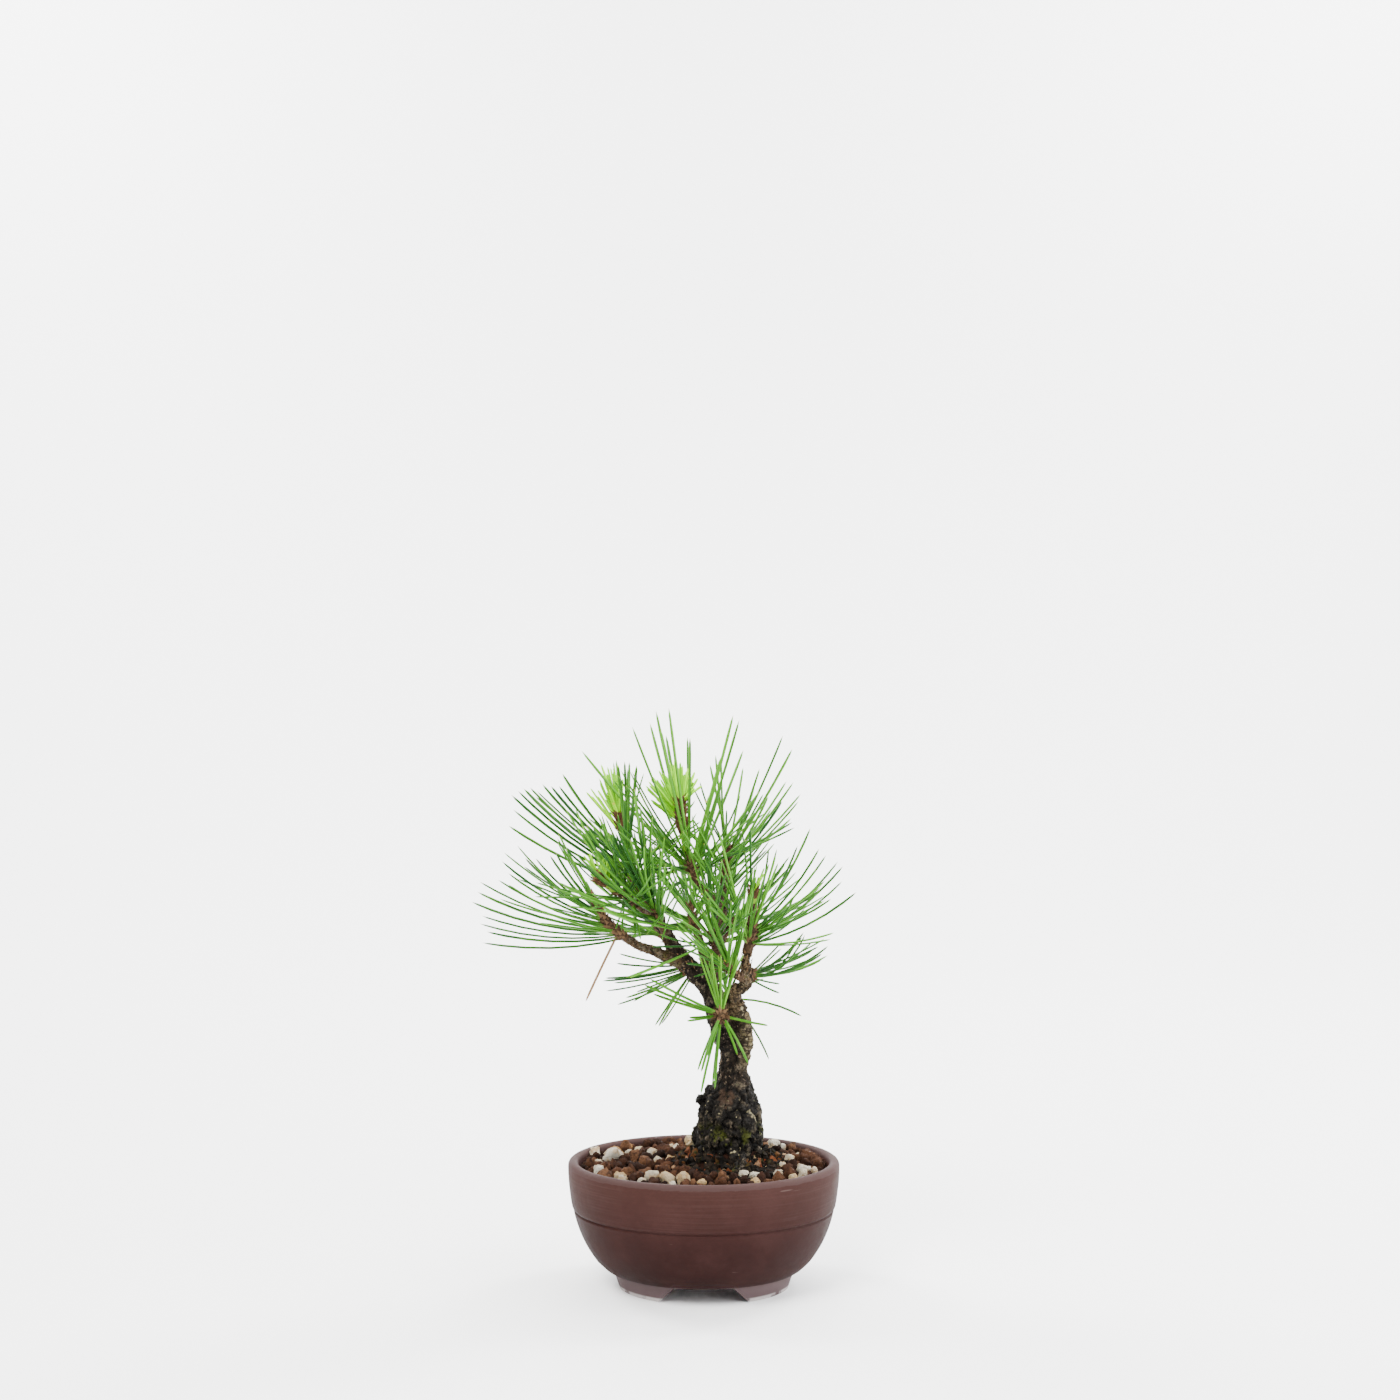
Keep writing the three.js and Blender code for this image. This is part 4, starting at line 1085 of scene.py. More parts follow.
@dataclass
class Soil:
    """The bed of fine soil, its grains, its pumice and the dark damp litter round the trunk."""

    edge_height: float = 50.2
    mound: float = 3.4
    mound_spread: float = 24.0
    drift: float = 6.4
    drift_from: float = 14.0
    drift_spread: float = 6.5
    trunk_x: float = 10.9
    trunk_y: float = 2.0
    trunk_radius: float = 16.2
    half_width: float = 56.0
    half_depth: float = 43.3
    floor: float = 10.85
    clay_sizes: tuple[float, ...] = (6.4, 5.8, 5.2, 4.5, 3.8, 3.1, 2.5, 2.0)
    clay_counts: tuple[int, ...] = (12, 34, 70, 120, 200, 300, 400, 500)
    white: tuple[tuple[float, float, float, float], ...] = (
        (-49.9, 16.4, 6, 0.8), (-41.5, 5.3, 9, 0.9), (-39.9, 18.3, 5.5, 0.15), (-24.1, 14.5, 5.5, 0.85),
        (-20.6, -0.2, 4.5, 0.8), (-46.7, -16.1, 5.5, 0.9), (-47.1, -0.2, 4.5, 0.8), (-22.6, -26.4, 7, 0.75),
        (-36.5, -26.4, 6, 0.5), (-26.4, -31.4, 4, 0.8), (-16.0, -29.7, 6.5, 0.5), (-9.1, -31.4, 6.5, 0.45),
        (-1.3, -34.7, 4.5, 0.3), (32.5, 33.6, 7, 0.9), (17.9, -24.7, 5, 0.8), (22.3, -24.7, 5, 0.85),
        (32.5, -21.2, 5.5, 0.9), (43.8, -14.3, 6, 0.9), (44.0, 12.7, 4, 0.8), (38.3, -0.2, 5.5, 0.75),
        (35.2, -10.8, 4.5, 0.8), (43.3, -23.4, 6.0, 0.7), (38.8, -27.7, 5, 0.45), (-5.0, 27.8, 4, 0.4),
        (-15.7, 3.5, 4, 0.4), (-35.3, 29.0, 5, 0.05), (-6.9, 38.5, 5.5, 0.5), (49.0, -14.8, 4, 0.8),
        (22.4, -35.4, 4.5, 0.4), (-35.4, -29.4, 4.5, 0.8), (-13.7, -37.3, 4, 0.8),
    )
    back_pumice: int = 16
    back_from: float = 14.0
    back_sizes: Span = (3.8, 6.5)
    packing: float = 0.42  # least distance of two grains, over the sum of their sizes
    litter: int = 1100
    litter_reach: Span = (14.5, 13.5)  # where the litter begins, and how much further it goes
    litter_sizes: Span = (1.2, 3.4)
    grain_kinds: int = 8
    coarse_from: float = 3.4  # larger grains have finer faces

    def surface(self, x: float, y: float) -> float:
        """Finds the height of the bed.

        Args:
            x: the place, to the right.
            y: the place, away from the viewer.

        Returns:
            The height.
        """
        away = math.hypot(x - self.trunk_x, (y - self.trunk_y) * 1.1)
        mound = self.mound * math.exp(-((away / self.mound_spread) ** 2))
        drift = self.drift * math.exp(-((max(0.0, away - self.drift_from) / self.drift_spread) ** 2))
        return self.edge_height + mound + drift

    def inside(self, x: float, y: float, margin: float) -> bool:
        """Tells whether a place is clear of the pot's wall and of the trunk by a margin."""
        in_pot = (x / (self.half_width - margin)) ** 2 + (y / (self.half_depth - margin)) ** 2 < 1
        return in_pot and math.hypot(x - self.trunk_x, y - self.trunk_y) > self.trunk_radius + margin * 0.4

    def strewn(self) -> tuple[list[Grain], list[Grain]]:
        """Lays the grains side by side, the largest first.

        Returns:
            The clay grains and the pumice grains.
        """
        chance = random.Random(77)
        pumice = [Grain(*values) for values in self.white]
        taken = list(pumice)

        def room(x: float, y: float, size: float) -> bool:
            """Tells whether a grain of that size fits there."""
            return all((x - g.x) ** 2 + (y - g.y) ** 2 > (self.packing * (size + g.size)) ** 2 for g in taken)

        def spot() -> tuple[float, float]:
            """Returns a place over the soil."""
            x = chance.uniform(-self.half_width, self.half_width)
            return x, chance.uniform(-self.half_depth, self.half_depth)

        while len(pumice) < len(self.white) + self.back_pumice:
            x, y = spot()
            size = chance.uniform(*self.back_sizes)
            if y > self.back_from and self.inside(x, y, size / 2) and room(x, y, size):
                pumice.append(Grain(x, y, size, chance.uniform(0.3, 1.0)))
                taken.append(pumice[-1])
        clay = []
        for size, count in zip(self.clay_sizes, self.clay_counts):
            for _ in range(count * 6):
                x, y = spot()
                away = math.hypot(x - self.trunk_x - 1.5, y - self.trunk_y + 2)
                near_trunk = away < 20 + min(size, 5) * 1.4
                if not near_trunk and self.inside(x, y, size * 0.72) and room(x, y, size):
                    tone = chance.random() * (1 if size > 3 else 0.6)
                    grain = Grain(x, y, size * chance.uniform(0.88, 1.18), tone)
                    clay.append(grain)
                    taken.append(grain)
        return clay, pumice

    def kinds(self, seed: int, roundness: float, cuts: int) -> list[Mesh]:
        """Makes the grain shapes: cut cubes, rounded off and knocked out of true.

        Args:
            seed: picks the dents.
            roundness: 0 for a block, 1 for a ball.
            cuts: cuts across each face of the cube.

        Returns:
            The meshes, each about 1 across.
        """
        made = []
        for kind in range(self.grain_kinds):
            bm = bmesh.new()
            bmesh.ops.create_cube(bm, size=1.0)
            bmesh.ops.subdivide_edges(bm, edges=bm.edges[:], cuts=cuts, use_grid_fill=True)
            shift = Vector((seed, kind * 7.3, seed * 0.37))
            for v in bm.verts:
                ball = v.co.normalized() * 0.5
                v.co = v.co.lerp(ball, roundness)
                v.co *= 1 + 0.5 * noise.noise(v.co * 1.9 + shift)
                v.co += wobble(v.co * 2.6 + shift) * 0.08
                v.co += wobble(v.co * 6 + shift) * (0.13 if cuts > 1 else 0)
            mesh = bpy.data.meshes.new("grain")
            bm.to_mesh(mesh)
            bm.free()
            made.append(mesh)
        return made

    def heap(self, grains: Sequence[Grain], seed: int, roundness: float, sunk: float) -> BMesh:
        """Lays grains on the bed.

        Args:
            grains: where they lie.
            seed: picks each grain's turn.
            roundness: 0 for blocks, 1 for balls.
            sunk: share of a grain's height below the bed.

        Returns:
            The mesh of all of them.
        """
        coarse, fine = self.kinds(seed, roundness, 2), self.kinds(seed + 1, roundness, 1)
        chance = random.Random(seed)
        bm = bmesh.new()
        tone = bm.verts.layers.float.new("tone")
        for index, grain in enumerate(grains):
            shapes = coarse if grain.size > self.coarse_from else fine
            corners = copy_into(bm, shapes[index % len(shapes)])
            sizes = (1.06, chance.uniform(0.66, 0.92), chance.uniform(0.56, 0.82))
            turn = Euler([chance.uniform(0, FULL_TURN) for _ in range(3)]).to_matrix().to_4x4()
            rest = self.surface(grain.x, grain.y) + grain.size * (0.30 - sunk)
            matrix = (
                Matrix.Translation((grain.x, grain.y, rest)) @ turn
                @ Matrix.Diagonal((*(s * grain.size for s in sizes), 1))
            )
            for v in corners:
                v.co = matrix @ v.co
                v[tone] = grain.tone
        return bm

    def bed(self) -> BMesh:
        """Returns the closed body of soil, rough on top."""
        shape = Pot(depth_ratio=self.half_depth / self.half_width, steps=120)
        top = [(self.half_width * share, self.edge_height, 0.0) for share in np.linspace(0, 1, 44)]
        wall = [(54.0, 35.0), (50.2, 22.0), (45.0, 14.0), (39.5, self.floor), (0.0, self.floor)]
        bm = shape.turned([*top, *((r, z, 0.0) for r, z in wall)])
        for v in bm.verts:
            if v.co.z > self.edge_height - 1e-3:
                lump = noise.fractal(v.co * 0.45, 1.0, 2.0, 4) * 0.7
                v.co.z = self.surface(v.co.x, v.co.y) + lump - 0.3
        return bm

    def build(self, bench: Bench) -> None:
        """Makes the soil.

        Args:
            bench: publishes it.
        """
        clay, pumice = self.strewn()
        bench.publish("soil_bed", self.bed(), SoilBedFinish().material(), "soil")
        for name, grains, finish, seed, roundness, sunk in (
            ("clay_grains", clay, FIRED_CLAY, 91, 0.72, 0.05),
            ("pumice_grains", pumice, PUMICE, 92, 0.80, 0.02),
        ):
            heap = self.heap(grains, seed, roundness, sunk)
            bench.publish(name, heap, finish.material(), crease=SMOOTH)
        chance = random.Random(19)
        bits = []
        start, reach = self.litter_reach
        while len(bits) < self.litter:
            turn, out = chance.uniform(0, FULL_TURN), start + reach * chance.random() ** 1.15
            x = self.trunk_x + 1.5 + out * math.cos(turn)
            y = self.trunk_y - 2 + out * math.sin(turn)
            if self.inside(x, y, 1.0):
                bits.append(Grain(x, y, lerp(*self.litter_sizes, chance.random() ** 2), chance.random()))
        heap = self.heap(bits, 93, 0.4, 0.05)
        bench.publish("damp_litter", heap, WET_FINES.material(), crease=60)


# ---- trunk and branches
MAIN_STEM: Route = (
    (10.9, 2, 43, 12.5), (10.8, 2, 50.7, 15.2), (10.8, 2, 58, 15.3), (11.4, 2, 67, 15.2),
    (11.8, 2, 73, 14.5), (12.1, 2, 78.5, 13.2), (12.5, 2, 83.6, 11.2), (12.9, 2, 88, 8.8),
    (13.2, 2, 92.5, 7.0), (13.2, 2, 98, 6.0), (12.2, 2, 104, 5.7), (9.6, 1.6, 110, 6.1),
    (7.6, 1, 116, 5.9), (6.0, 0, 123.5, 5.5), (1.8, -1, 130.8, 5.0), (-2.6, -2, 136.6, 4.5),
    (-8.5, -2, 142.7, 4.0), (-13.5, -2, 149, 3.5), (-17.6, -2, 156.2, 2.8), (-22.5, -1, 163.8, 2.3),
    (-28.2, 0, 171.4, 2.0),
)
TAN_LIMB: Route = (
    (12.9, 0, 90, 4.6), (15.2, -1, 95.4, 4.7), (17.2, -1, 100.4, 4.5), (18.2, -1, 106, 4.1),
    (18.3, -1, 112, 3.9), (16.6, -1, 118.6, 3.8), (14.4, -2, 124.6, 3.4), (13.9, -3, 128.4, 3.1),
    (19.2, -4, 133.8, 2.8), (18.9, -4, 140.2, 2.7), (19.8, -4, 148.8, 2.4),
)
CENTRE_LIMB: Route = (
    (2.6, -1, 131, 3.6), (4.0, 1, 136.2, 3.3), (6.8, 3, 147.6, 2.8), (7.3, 4, 156.4, 2.5),
    (8.0, 5, 166.2, 2.2), (3.4, 4, 170.8, 2.0), (-0.4, 3, 174.6, 1.9), (-3, 2.3, 178, 1.9),
)
BACK_LIMB: Route = (
    (1.5, 0, 131, 3.2), (1.2, 6, 138, 2.6), (-0.6, 11.4, 146, 2.2), (-2.6, 14.6, 152, 1.9),
)
LIMBS = (TAN_LIMB, CENTRE_LIMB, BACK_LIMB)


@dataclass(frozen=True)
class Fan:
    """A group of needles: how many, where they point, how long they are and where they root.

    alpha is the direction in the front view (0 right, 90 up, 180 left) and delta the tilt away
    from the viewer, in degrees. bow bends them, and along is the stretch of the shoot they leave.
    """

    count: int
    alpha: Span
    delta: Span
    length: Span
    bow: float
    along: Span
    dead: bool = False
    tips: tuple[Span, ...] = ()

    @classmethod
    def to_tips(cls, tips: tuple[Span, ...], delta: Span, bow: float, along: Span) -> "Fan":
        """Returns a fan whose tips lie at those X and Z as EYE sees them on Y = 0."""
        return cls(len(tips), (0, 0), delta, (0, 0), bow, along, tips=tips)


@dataclass(frozen=True)
class Shoot:
    """A shoot with its needles, on a twig of its own, on a limb's end or on the shoot before it."""

    name: str
    core: Route
    fans: tuple[Fan, ...]
    twig: Route = ()
    parent: Route = ()
    after: str = ""
    finish: NeedleFinish = MATURE


SHOOTS: tuple[Shoot, ...] = (
    Shoot("left_low", ((-39, -5.8, 156.6, 1.9), (-43.4, -6.6, 161.4, 1.8), (-47.2, -7.4, 167, 1.6),
                       (-50.4, -8, 173.6, 1.1)), (
        Fan.to_tips(((-99.1, 150.9), (-97.1, 155.8), (-100.3, 159.4), (-99.3, 162.9), (-104, 169.2),
                     (-101.3, 173.6), (-100.3, 178.2), (-92, 179), (-87.4, 181.9), (-90.3, 187.2),
                     (-80, 188.7), (-75.2, 188.5), (-68.8, 189.7), (-66.1, 190.7)),
                    (-24, 24), 0.22, (0, 0.75)),
        Fan(7, (172, 108), (-66, 66), (46, 58), 0.12, (0.2, 0.8)),
        Fan(1, (250, 246), (0, 0), (25, 26), -0.05, (0.2, 0.2), dead=True),
    ), twig=((-9.5, -2.6, 142.6, 2.9), (-15.2, -3.2, 143.9, 2.6), (-21.5, -4, 147.3, 2.3),
             (-29, -5, 150, 2), (-34.3, -5.2, 153.2, 1.9))),
    Shoot("left_mid", ((-32, -8, 170.4, 1.6), (-36, -11.5, 173.4, 1.5), (-39.6, -14, 175.6, 1.2)), (
        Fan(10, (176, 50), (-70, -8), (38, 54), 0.12, (0.3, 0.9)),
        Fan(3, (286, 258), (-40, -5), (14, 19), -0.05, (0.2, 0.7)),
    ), twig=((-22, -1.5, 163.2, 1.7), (-28, -5, 167, 1.6))),
    Shoot("upper_left", ((-31.4, 1.3, 179.4, 1.7), (-34, 2.2, 187, 1.7), (-35, 3, 192.6, 1.5)), (
        Fan.to_tips(((-87.4, 203.3), (-85.3, 210.5), (-86.2, 217.1), (-83.2, 218.9), (-80.8, 220.1),
                     (-77.8, 220.4), (-72.3, 221.9), (-68.4, 221), (-64.8, 221), (-63.3, 226.5)),
                    (-26, 26), 0.18, (0.1, 0.9)),
        Fan.to_tips(((-38.6, 230.4), (-35.6, 231.9), (-33.5, 231.6), (-30.2, 230.1), (-27, 229)),
                    (-24, 24), 0.04, (0.5, 0.95)),
        Fan(5, (150, 60), (-64, 64), (46, 58), 0.1, (0.3, 0.9)),
        Fan(3, (58, 18), (-40, 60), (38, 50), 0.15, (0.25, 0.8)),
    ), twig=((-26.5, 0, 169.5, 1.8), (-29.6, 0.8, 174.6, 1.7))),
    Shoot("inner_left", ((-19.6, -9, 161.8, 2), (-21.6, -11.4, 165.6, 1.8), (-23.6, -13.8, 169.6, 1.4)), (
        Fan(12, (154, 84), (-62, -4), (46, 60), 0.12, (0.2, 0.95)),
    ), twig=((-16, -2, 153, 2.4), (-18, -6.4, 158, 2))),
    Shoot("top", ((-5, 1.6, 182, 1.9), (-6.4, 0.9, 187, 1.9), (-7.6, 0.2, 192.6, 1.7)), (
        Fan.to_tips(((-54.6, 236.7), (24.6, 218.3), (7.7, 222.4), (-32, 247.5), (17.6, 237), (-24.1, 249.1),
                     (15.8, 250.5), (-21.4, 254.5), (13.1, 252.7), (-15.7, 256), (7.4, 233.4),
                     (-19.3, 246.4), (-16.9, 243.6), (-7.3, 242.7), (-6.2, 242.4)),
                    (-26, 26), 0.08, (0.1, 0.75)),
        Fan(7, (156, 112), (-60, 54), (46, 60), 0.16, (0.2, 0.7)),
        Fan(5, (60, 8), (-60, 50), (42, 54), 0.15, (0.2, 0.7)),
        Fan(4, (222, 180), (-56, -12), (36, 48), 0.05, (0.2, 0.7)),
    ), parent=CENTRE_LIMB),
    Shoot("upper_right", ((9.2, 8, 182.6, 1.7), (10.4, 9.8, 188.2, 1.6), (12.8, 11.6, 193.6, 1.3)), (
        Fan.to_tips(((42.3, 214.1), (28.8, 216.2), (43.3, 217.4), (40, 222.6), (36.9, 223.1), (24.9, 228.6),
                     (39.6, 237.6), (17.6, 229.2), (35.4, 243.6), (2.9, 230.4)),
                    (-28, 34), 0.12, (0.1, 0.95)),
        Fan(5, (142, 84), (-28, 62), (38, 50), 0.08, (0.3, 0.9)),
        Fan(5, (74, 10), (-10, 66), (36, 48), 0.2, (0.2, 0.8)),
    ), twig=((7.8, 4.6, 165.6, 1.8), (9.1, 6.6, 177, 1.7))),
    Shoot("right", ((21.2, -4, 155, 2.3), (21.8, -4.4, 161.4, 2.2), (22, -4.8, 168.8, 1.6)), (
        Fan.to_tips(((57.1, 156.6), (68, 173.4), (61.6, 178.2), (62, 184.9), (59.8, 187), (54.4, 189.7),
                     (51.4, 192.7), (41.8, 193.9), (47.5, 201.8), (20.8, 202.3)),
                    (-28, 28), 0.24, (0, 0.6)),
        Fan(6, (132, 106), (-46, -12), (50, 64), 0.06, (0.05, 0.45)),
        Fan(4, (98, 64), (-54, 54), (38, 50), 0.1, (0.1, 0.5)),
        Fan(6, (56, 0), (-64, 64), (38, 50), 0.2, (0.05, 0.6)),
    ), parent=TAN_LIMB),
    Shoot("right_low", ((20.4, 1.2, 135.2, 1.6), (21.2, 3.4, 136.4, 1.4), (22.2, 5.6, 137.8, 1.2)), (
        Fan.to_tips(((42.1, 153.6), (45.1, 154.5)),
                    (-6, 16), 0.7, (0.2, 0.7)),
        Fan.to_tips(((33.7, 128.3), (33.7, 132.4), (48.1, 146.7), (51.1, 148.8), (54, 152.4)),
                    (-22, 26), 0.12, (0.1, 0.95)),
        Fan(4, (36, 4), (-30, 60), (28, 40), 0.35, (0.3, 0.9)),
    ), twig=((19.2, -3.5, 133.6, 1.9), (19.9, -1, 134.4, 1.7))),
    Shoot("centre", ((4.8, -3.4, 151.2, 1.7), (4, -6, 154.4, 1.5), (3.2, -8.6, 158, 1.2)), (
        Fan(10, (134, 58), (-64, -2), (44, 58), 0.1, (0.3, 0.95)),
        Fan(3, (205, 150), (-56, -12), (34, 46), 0.05, (0.3, 0.8)),
    ), twig=((6.4, 2.4, 146, 1.9), (5.6, -0.8, 148.4, 1.8))),
    Shoot("middle", ((13.8, -10.6, 138.4, 1.9), (11.6, -13, 140.4, 1.7), (9.6, -15, 143, 1.3)), (
        Fan.to_tips(((3.2, 131.3), (-7.3, 141.2), (-4, 135.4)),
                    (-20, 4), -0.1, (0.2, 0.8)),
        Fan(9, (146, 72), (-46, -2), (34, 50), 0.1, (0.25, 0.95)),
    ), twig=((18.4, -4.5, 135.2, 2.2), (15.6, -8.4, 137, 2))),
    Shoot("trunk_front", ((7.6, -8.6, 119.6, 2.1), (7.6, -11, 120.2, 1.9), (7.6, -13.4, 121.2, 1.5)), (
        Fan.to_tips(((-2.4, 93.7), (-1.1, 83.3), (4.1, 87.5), (14.8, 100.9), (5, 85.4), (19.6, 96.8),
                     (-0.9, 93), (2, 100.2)),
                    (-20, -2), -0.2, (0.3, 0.95)),
        Fan.to_tips(((-6.9, 115.7), (28.3, 113.7), (-5.9, 117.1), (-22.3, 127.6), (-26.4, 131.7),
                     (-23.8, 134.3)),
                    (-24, -2), 0.06, (0.2, 0.9)),
        Fan(6, (112, 74), (-44, -8), (26, 38), 0.02, (0.3, 0.95)),
    ), twig=((7.4, 0, 119.4, 2.5), (7.6, -5.8, 119.4, 2.2)), finish=PALE),
    Shoot("lower_left", ((-6, 8, 136.8, 1.8), (-9, 11.2, 138.2, 1.6), (-12, 14, 139.6, 1.2)), (
        Fan.to_tips(((-19, 110.2), (-18.7, 114.7), (-38.6, 123.1), (-34.7, 126.2), (-43.7, 129.2),
                     (-40.1, 132.8), (-45.2, 133.7), (-44, 134.9), (-38.9, 141.5), (-37.7, 145.8)),
                    (-14, 34), 0.12, (0, 0.95)),
        Fan(2, (208, 236), (-20, 50), (24, 32), -0.05, (0.2, 0.9)),
    ), twig=((-1, 0, 134, 2.2), (-3.6, 4.6, 135.6, 2))),
    Shoot("trunk_back", ((10, 8.8, 123.2, 1.9), (11, 11.2, 124.2, 1.7), (12, 13.6, 125.8, 1.4)), (
        Fan.to_tips(((43.6, 117.5), (29, 98.3)),
                    (-4, 20), -0.3, (0.3, 0.8)),
        Fan(8, (165, 20), (14, 66), (26, 38), 0.05, (0.3, 0.95)),
    ), twig=((7.4, 1.6, 121.4, 2.3), (9, 6.4, 122.4, 2))),
    Shoot("back_top", ((-4.2, 16.4, 156.6, 1.8), (-5.6, 18, 161.2, 1.6), (-6.8, 19.6, 166, 1.3)), (
        Fan(11, (168, 30), (8, 66), (44, 57), 0.1, (0.3, 0.95)),
        Fan(2, (200, 170), (10, 60), (36, 46), 0.1, (0.3, 0.8)),
    ), parent=BACK_LIMB),
    Shoot("back_right", ((8, 14.8, 149.8, 1.7), (11, 18, 154.8, 1.5), (13.2, 20.6, 160, 1.2)), (
        Fan(11, (112, 8), (4, 66), (42, 55), 0.15, (0.2, 0.95)),
    ), twig=((0.6, 7.6, 140.4, 2), (4.6, 11.4, 145.2, 1.8))),
    Shoot("back_left", ((-18, 9.6, 152.8, 1.8), (-21.8, 14.4, 156.8, 1.6), (-25, 18.6, 161.6, 1.3)), (
        Fan(11, (176, 82), (4, 66), (42, 55), 0.15, (0.2, 0.95)),
    ), twig=((-10.6, -1, 145.4, 2.3), (-14.4, 4.6, 149, 2))),
    Shoot("candle_top", ((-8.6, -0.4, 198, 1.9), (-9.6, -1, 204.5, 1.9), (-10.8, -1.2, 215, 1.1)), (
        Fan.to_tips(((-19.5, 214.5), (-23.4, 217.6), (-25.8, 222), (-22.4, 225), (-19.2, 228.6),
                     (-15.8, 229.6), (-12.5, 231.8), (-9.6, 228.8), (-7, 229.4), (-4.2, 225), (-6, 219.2),
                     (-3.8, 221.5)),
                    (-34, 34), 0.1, (0.6, 0.98)),
    ), after="top", finish=YOUNG),
    Shoot("candle_upper_left", ((-36, 3.6, 199, 1.7), (-38, 4, 208, 1.1)), (
        Fan.to_tips(((-51.9, 224.9), (-50.6, 225.6), (-45.9, 223.4), (-47.1, 231.1), (-44.2, 226),
                     (-42.8, 230.4), (-41.3, 231), (-40.4, 224.6), (-37, 222.4)),
                    (-30, 30), 0.1, (0.4, 0.97)),
    ), after="upper_left", finish=YOUNG),
    Shoot("candle_left", ((-43.2, -16.4, 178.4, 1.4), (-46.4, -18.2, 181.6, 1)), (
        Fan(7, (142, 74), (-44, 12), (10, 15), 0, (0.3, 0.95)),
    ), after="left_mid", finish=YOUNG),
    Shoot("candle_right", ((22.4, -5, 171.4, 1.5), (22.8, -5.2, 174.6, 1)), (
        Fan.to_tips(((20.4, 182), (21.6, 180.2), (24.2, 178.6), (27, 182.4), (27.4, 184.6)),
                    (-14, 14), 0.05, (0.3, 0.95)),
    ), after="right", finish=YOUNG),
)


def carrier(shoot: Shoot) -> Route:
    """Finds what carries a shoot.

    Args:
        shoot: the shoot.

    Returns:
        A twig or limb of the tree, or the shoot before it.
    """
    if shoot.after:
        return core_route(next(s for s in SHOOTS if s.name == shoot.after))
    return shoot.twig or shoot.parent


def core_route(shoot: Shoot) -> Route:
    """Works out a shoot's points, from just beyond the end of what carries it.

    Args:
        shoot: the shoot.

    Returns:
        The points.
    """
    before = carrier(shoot)
    x, y, z, radius = before[-1]
    start = Vector((x, y, z)) + end_direction(before) * GAP
    return ((*start, radius), *shoot.core)


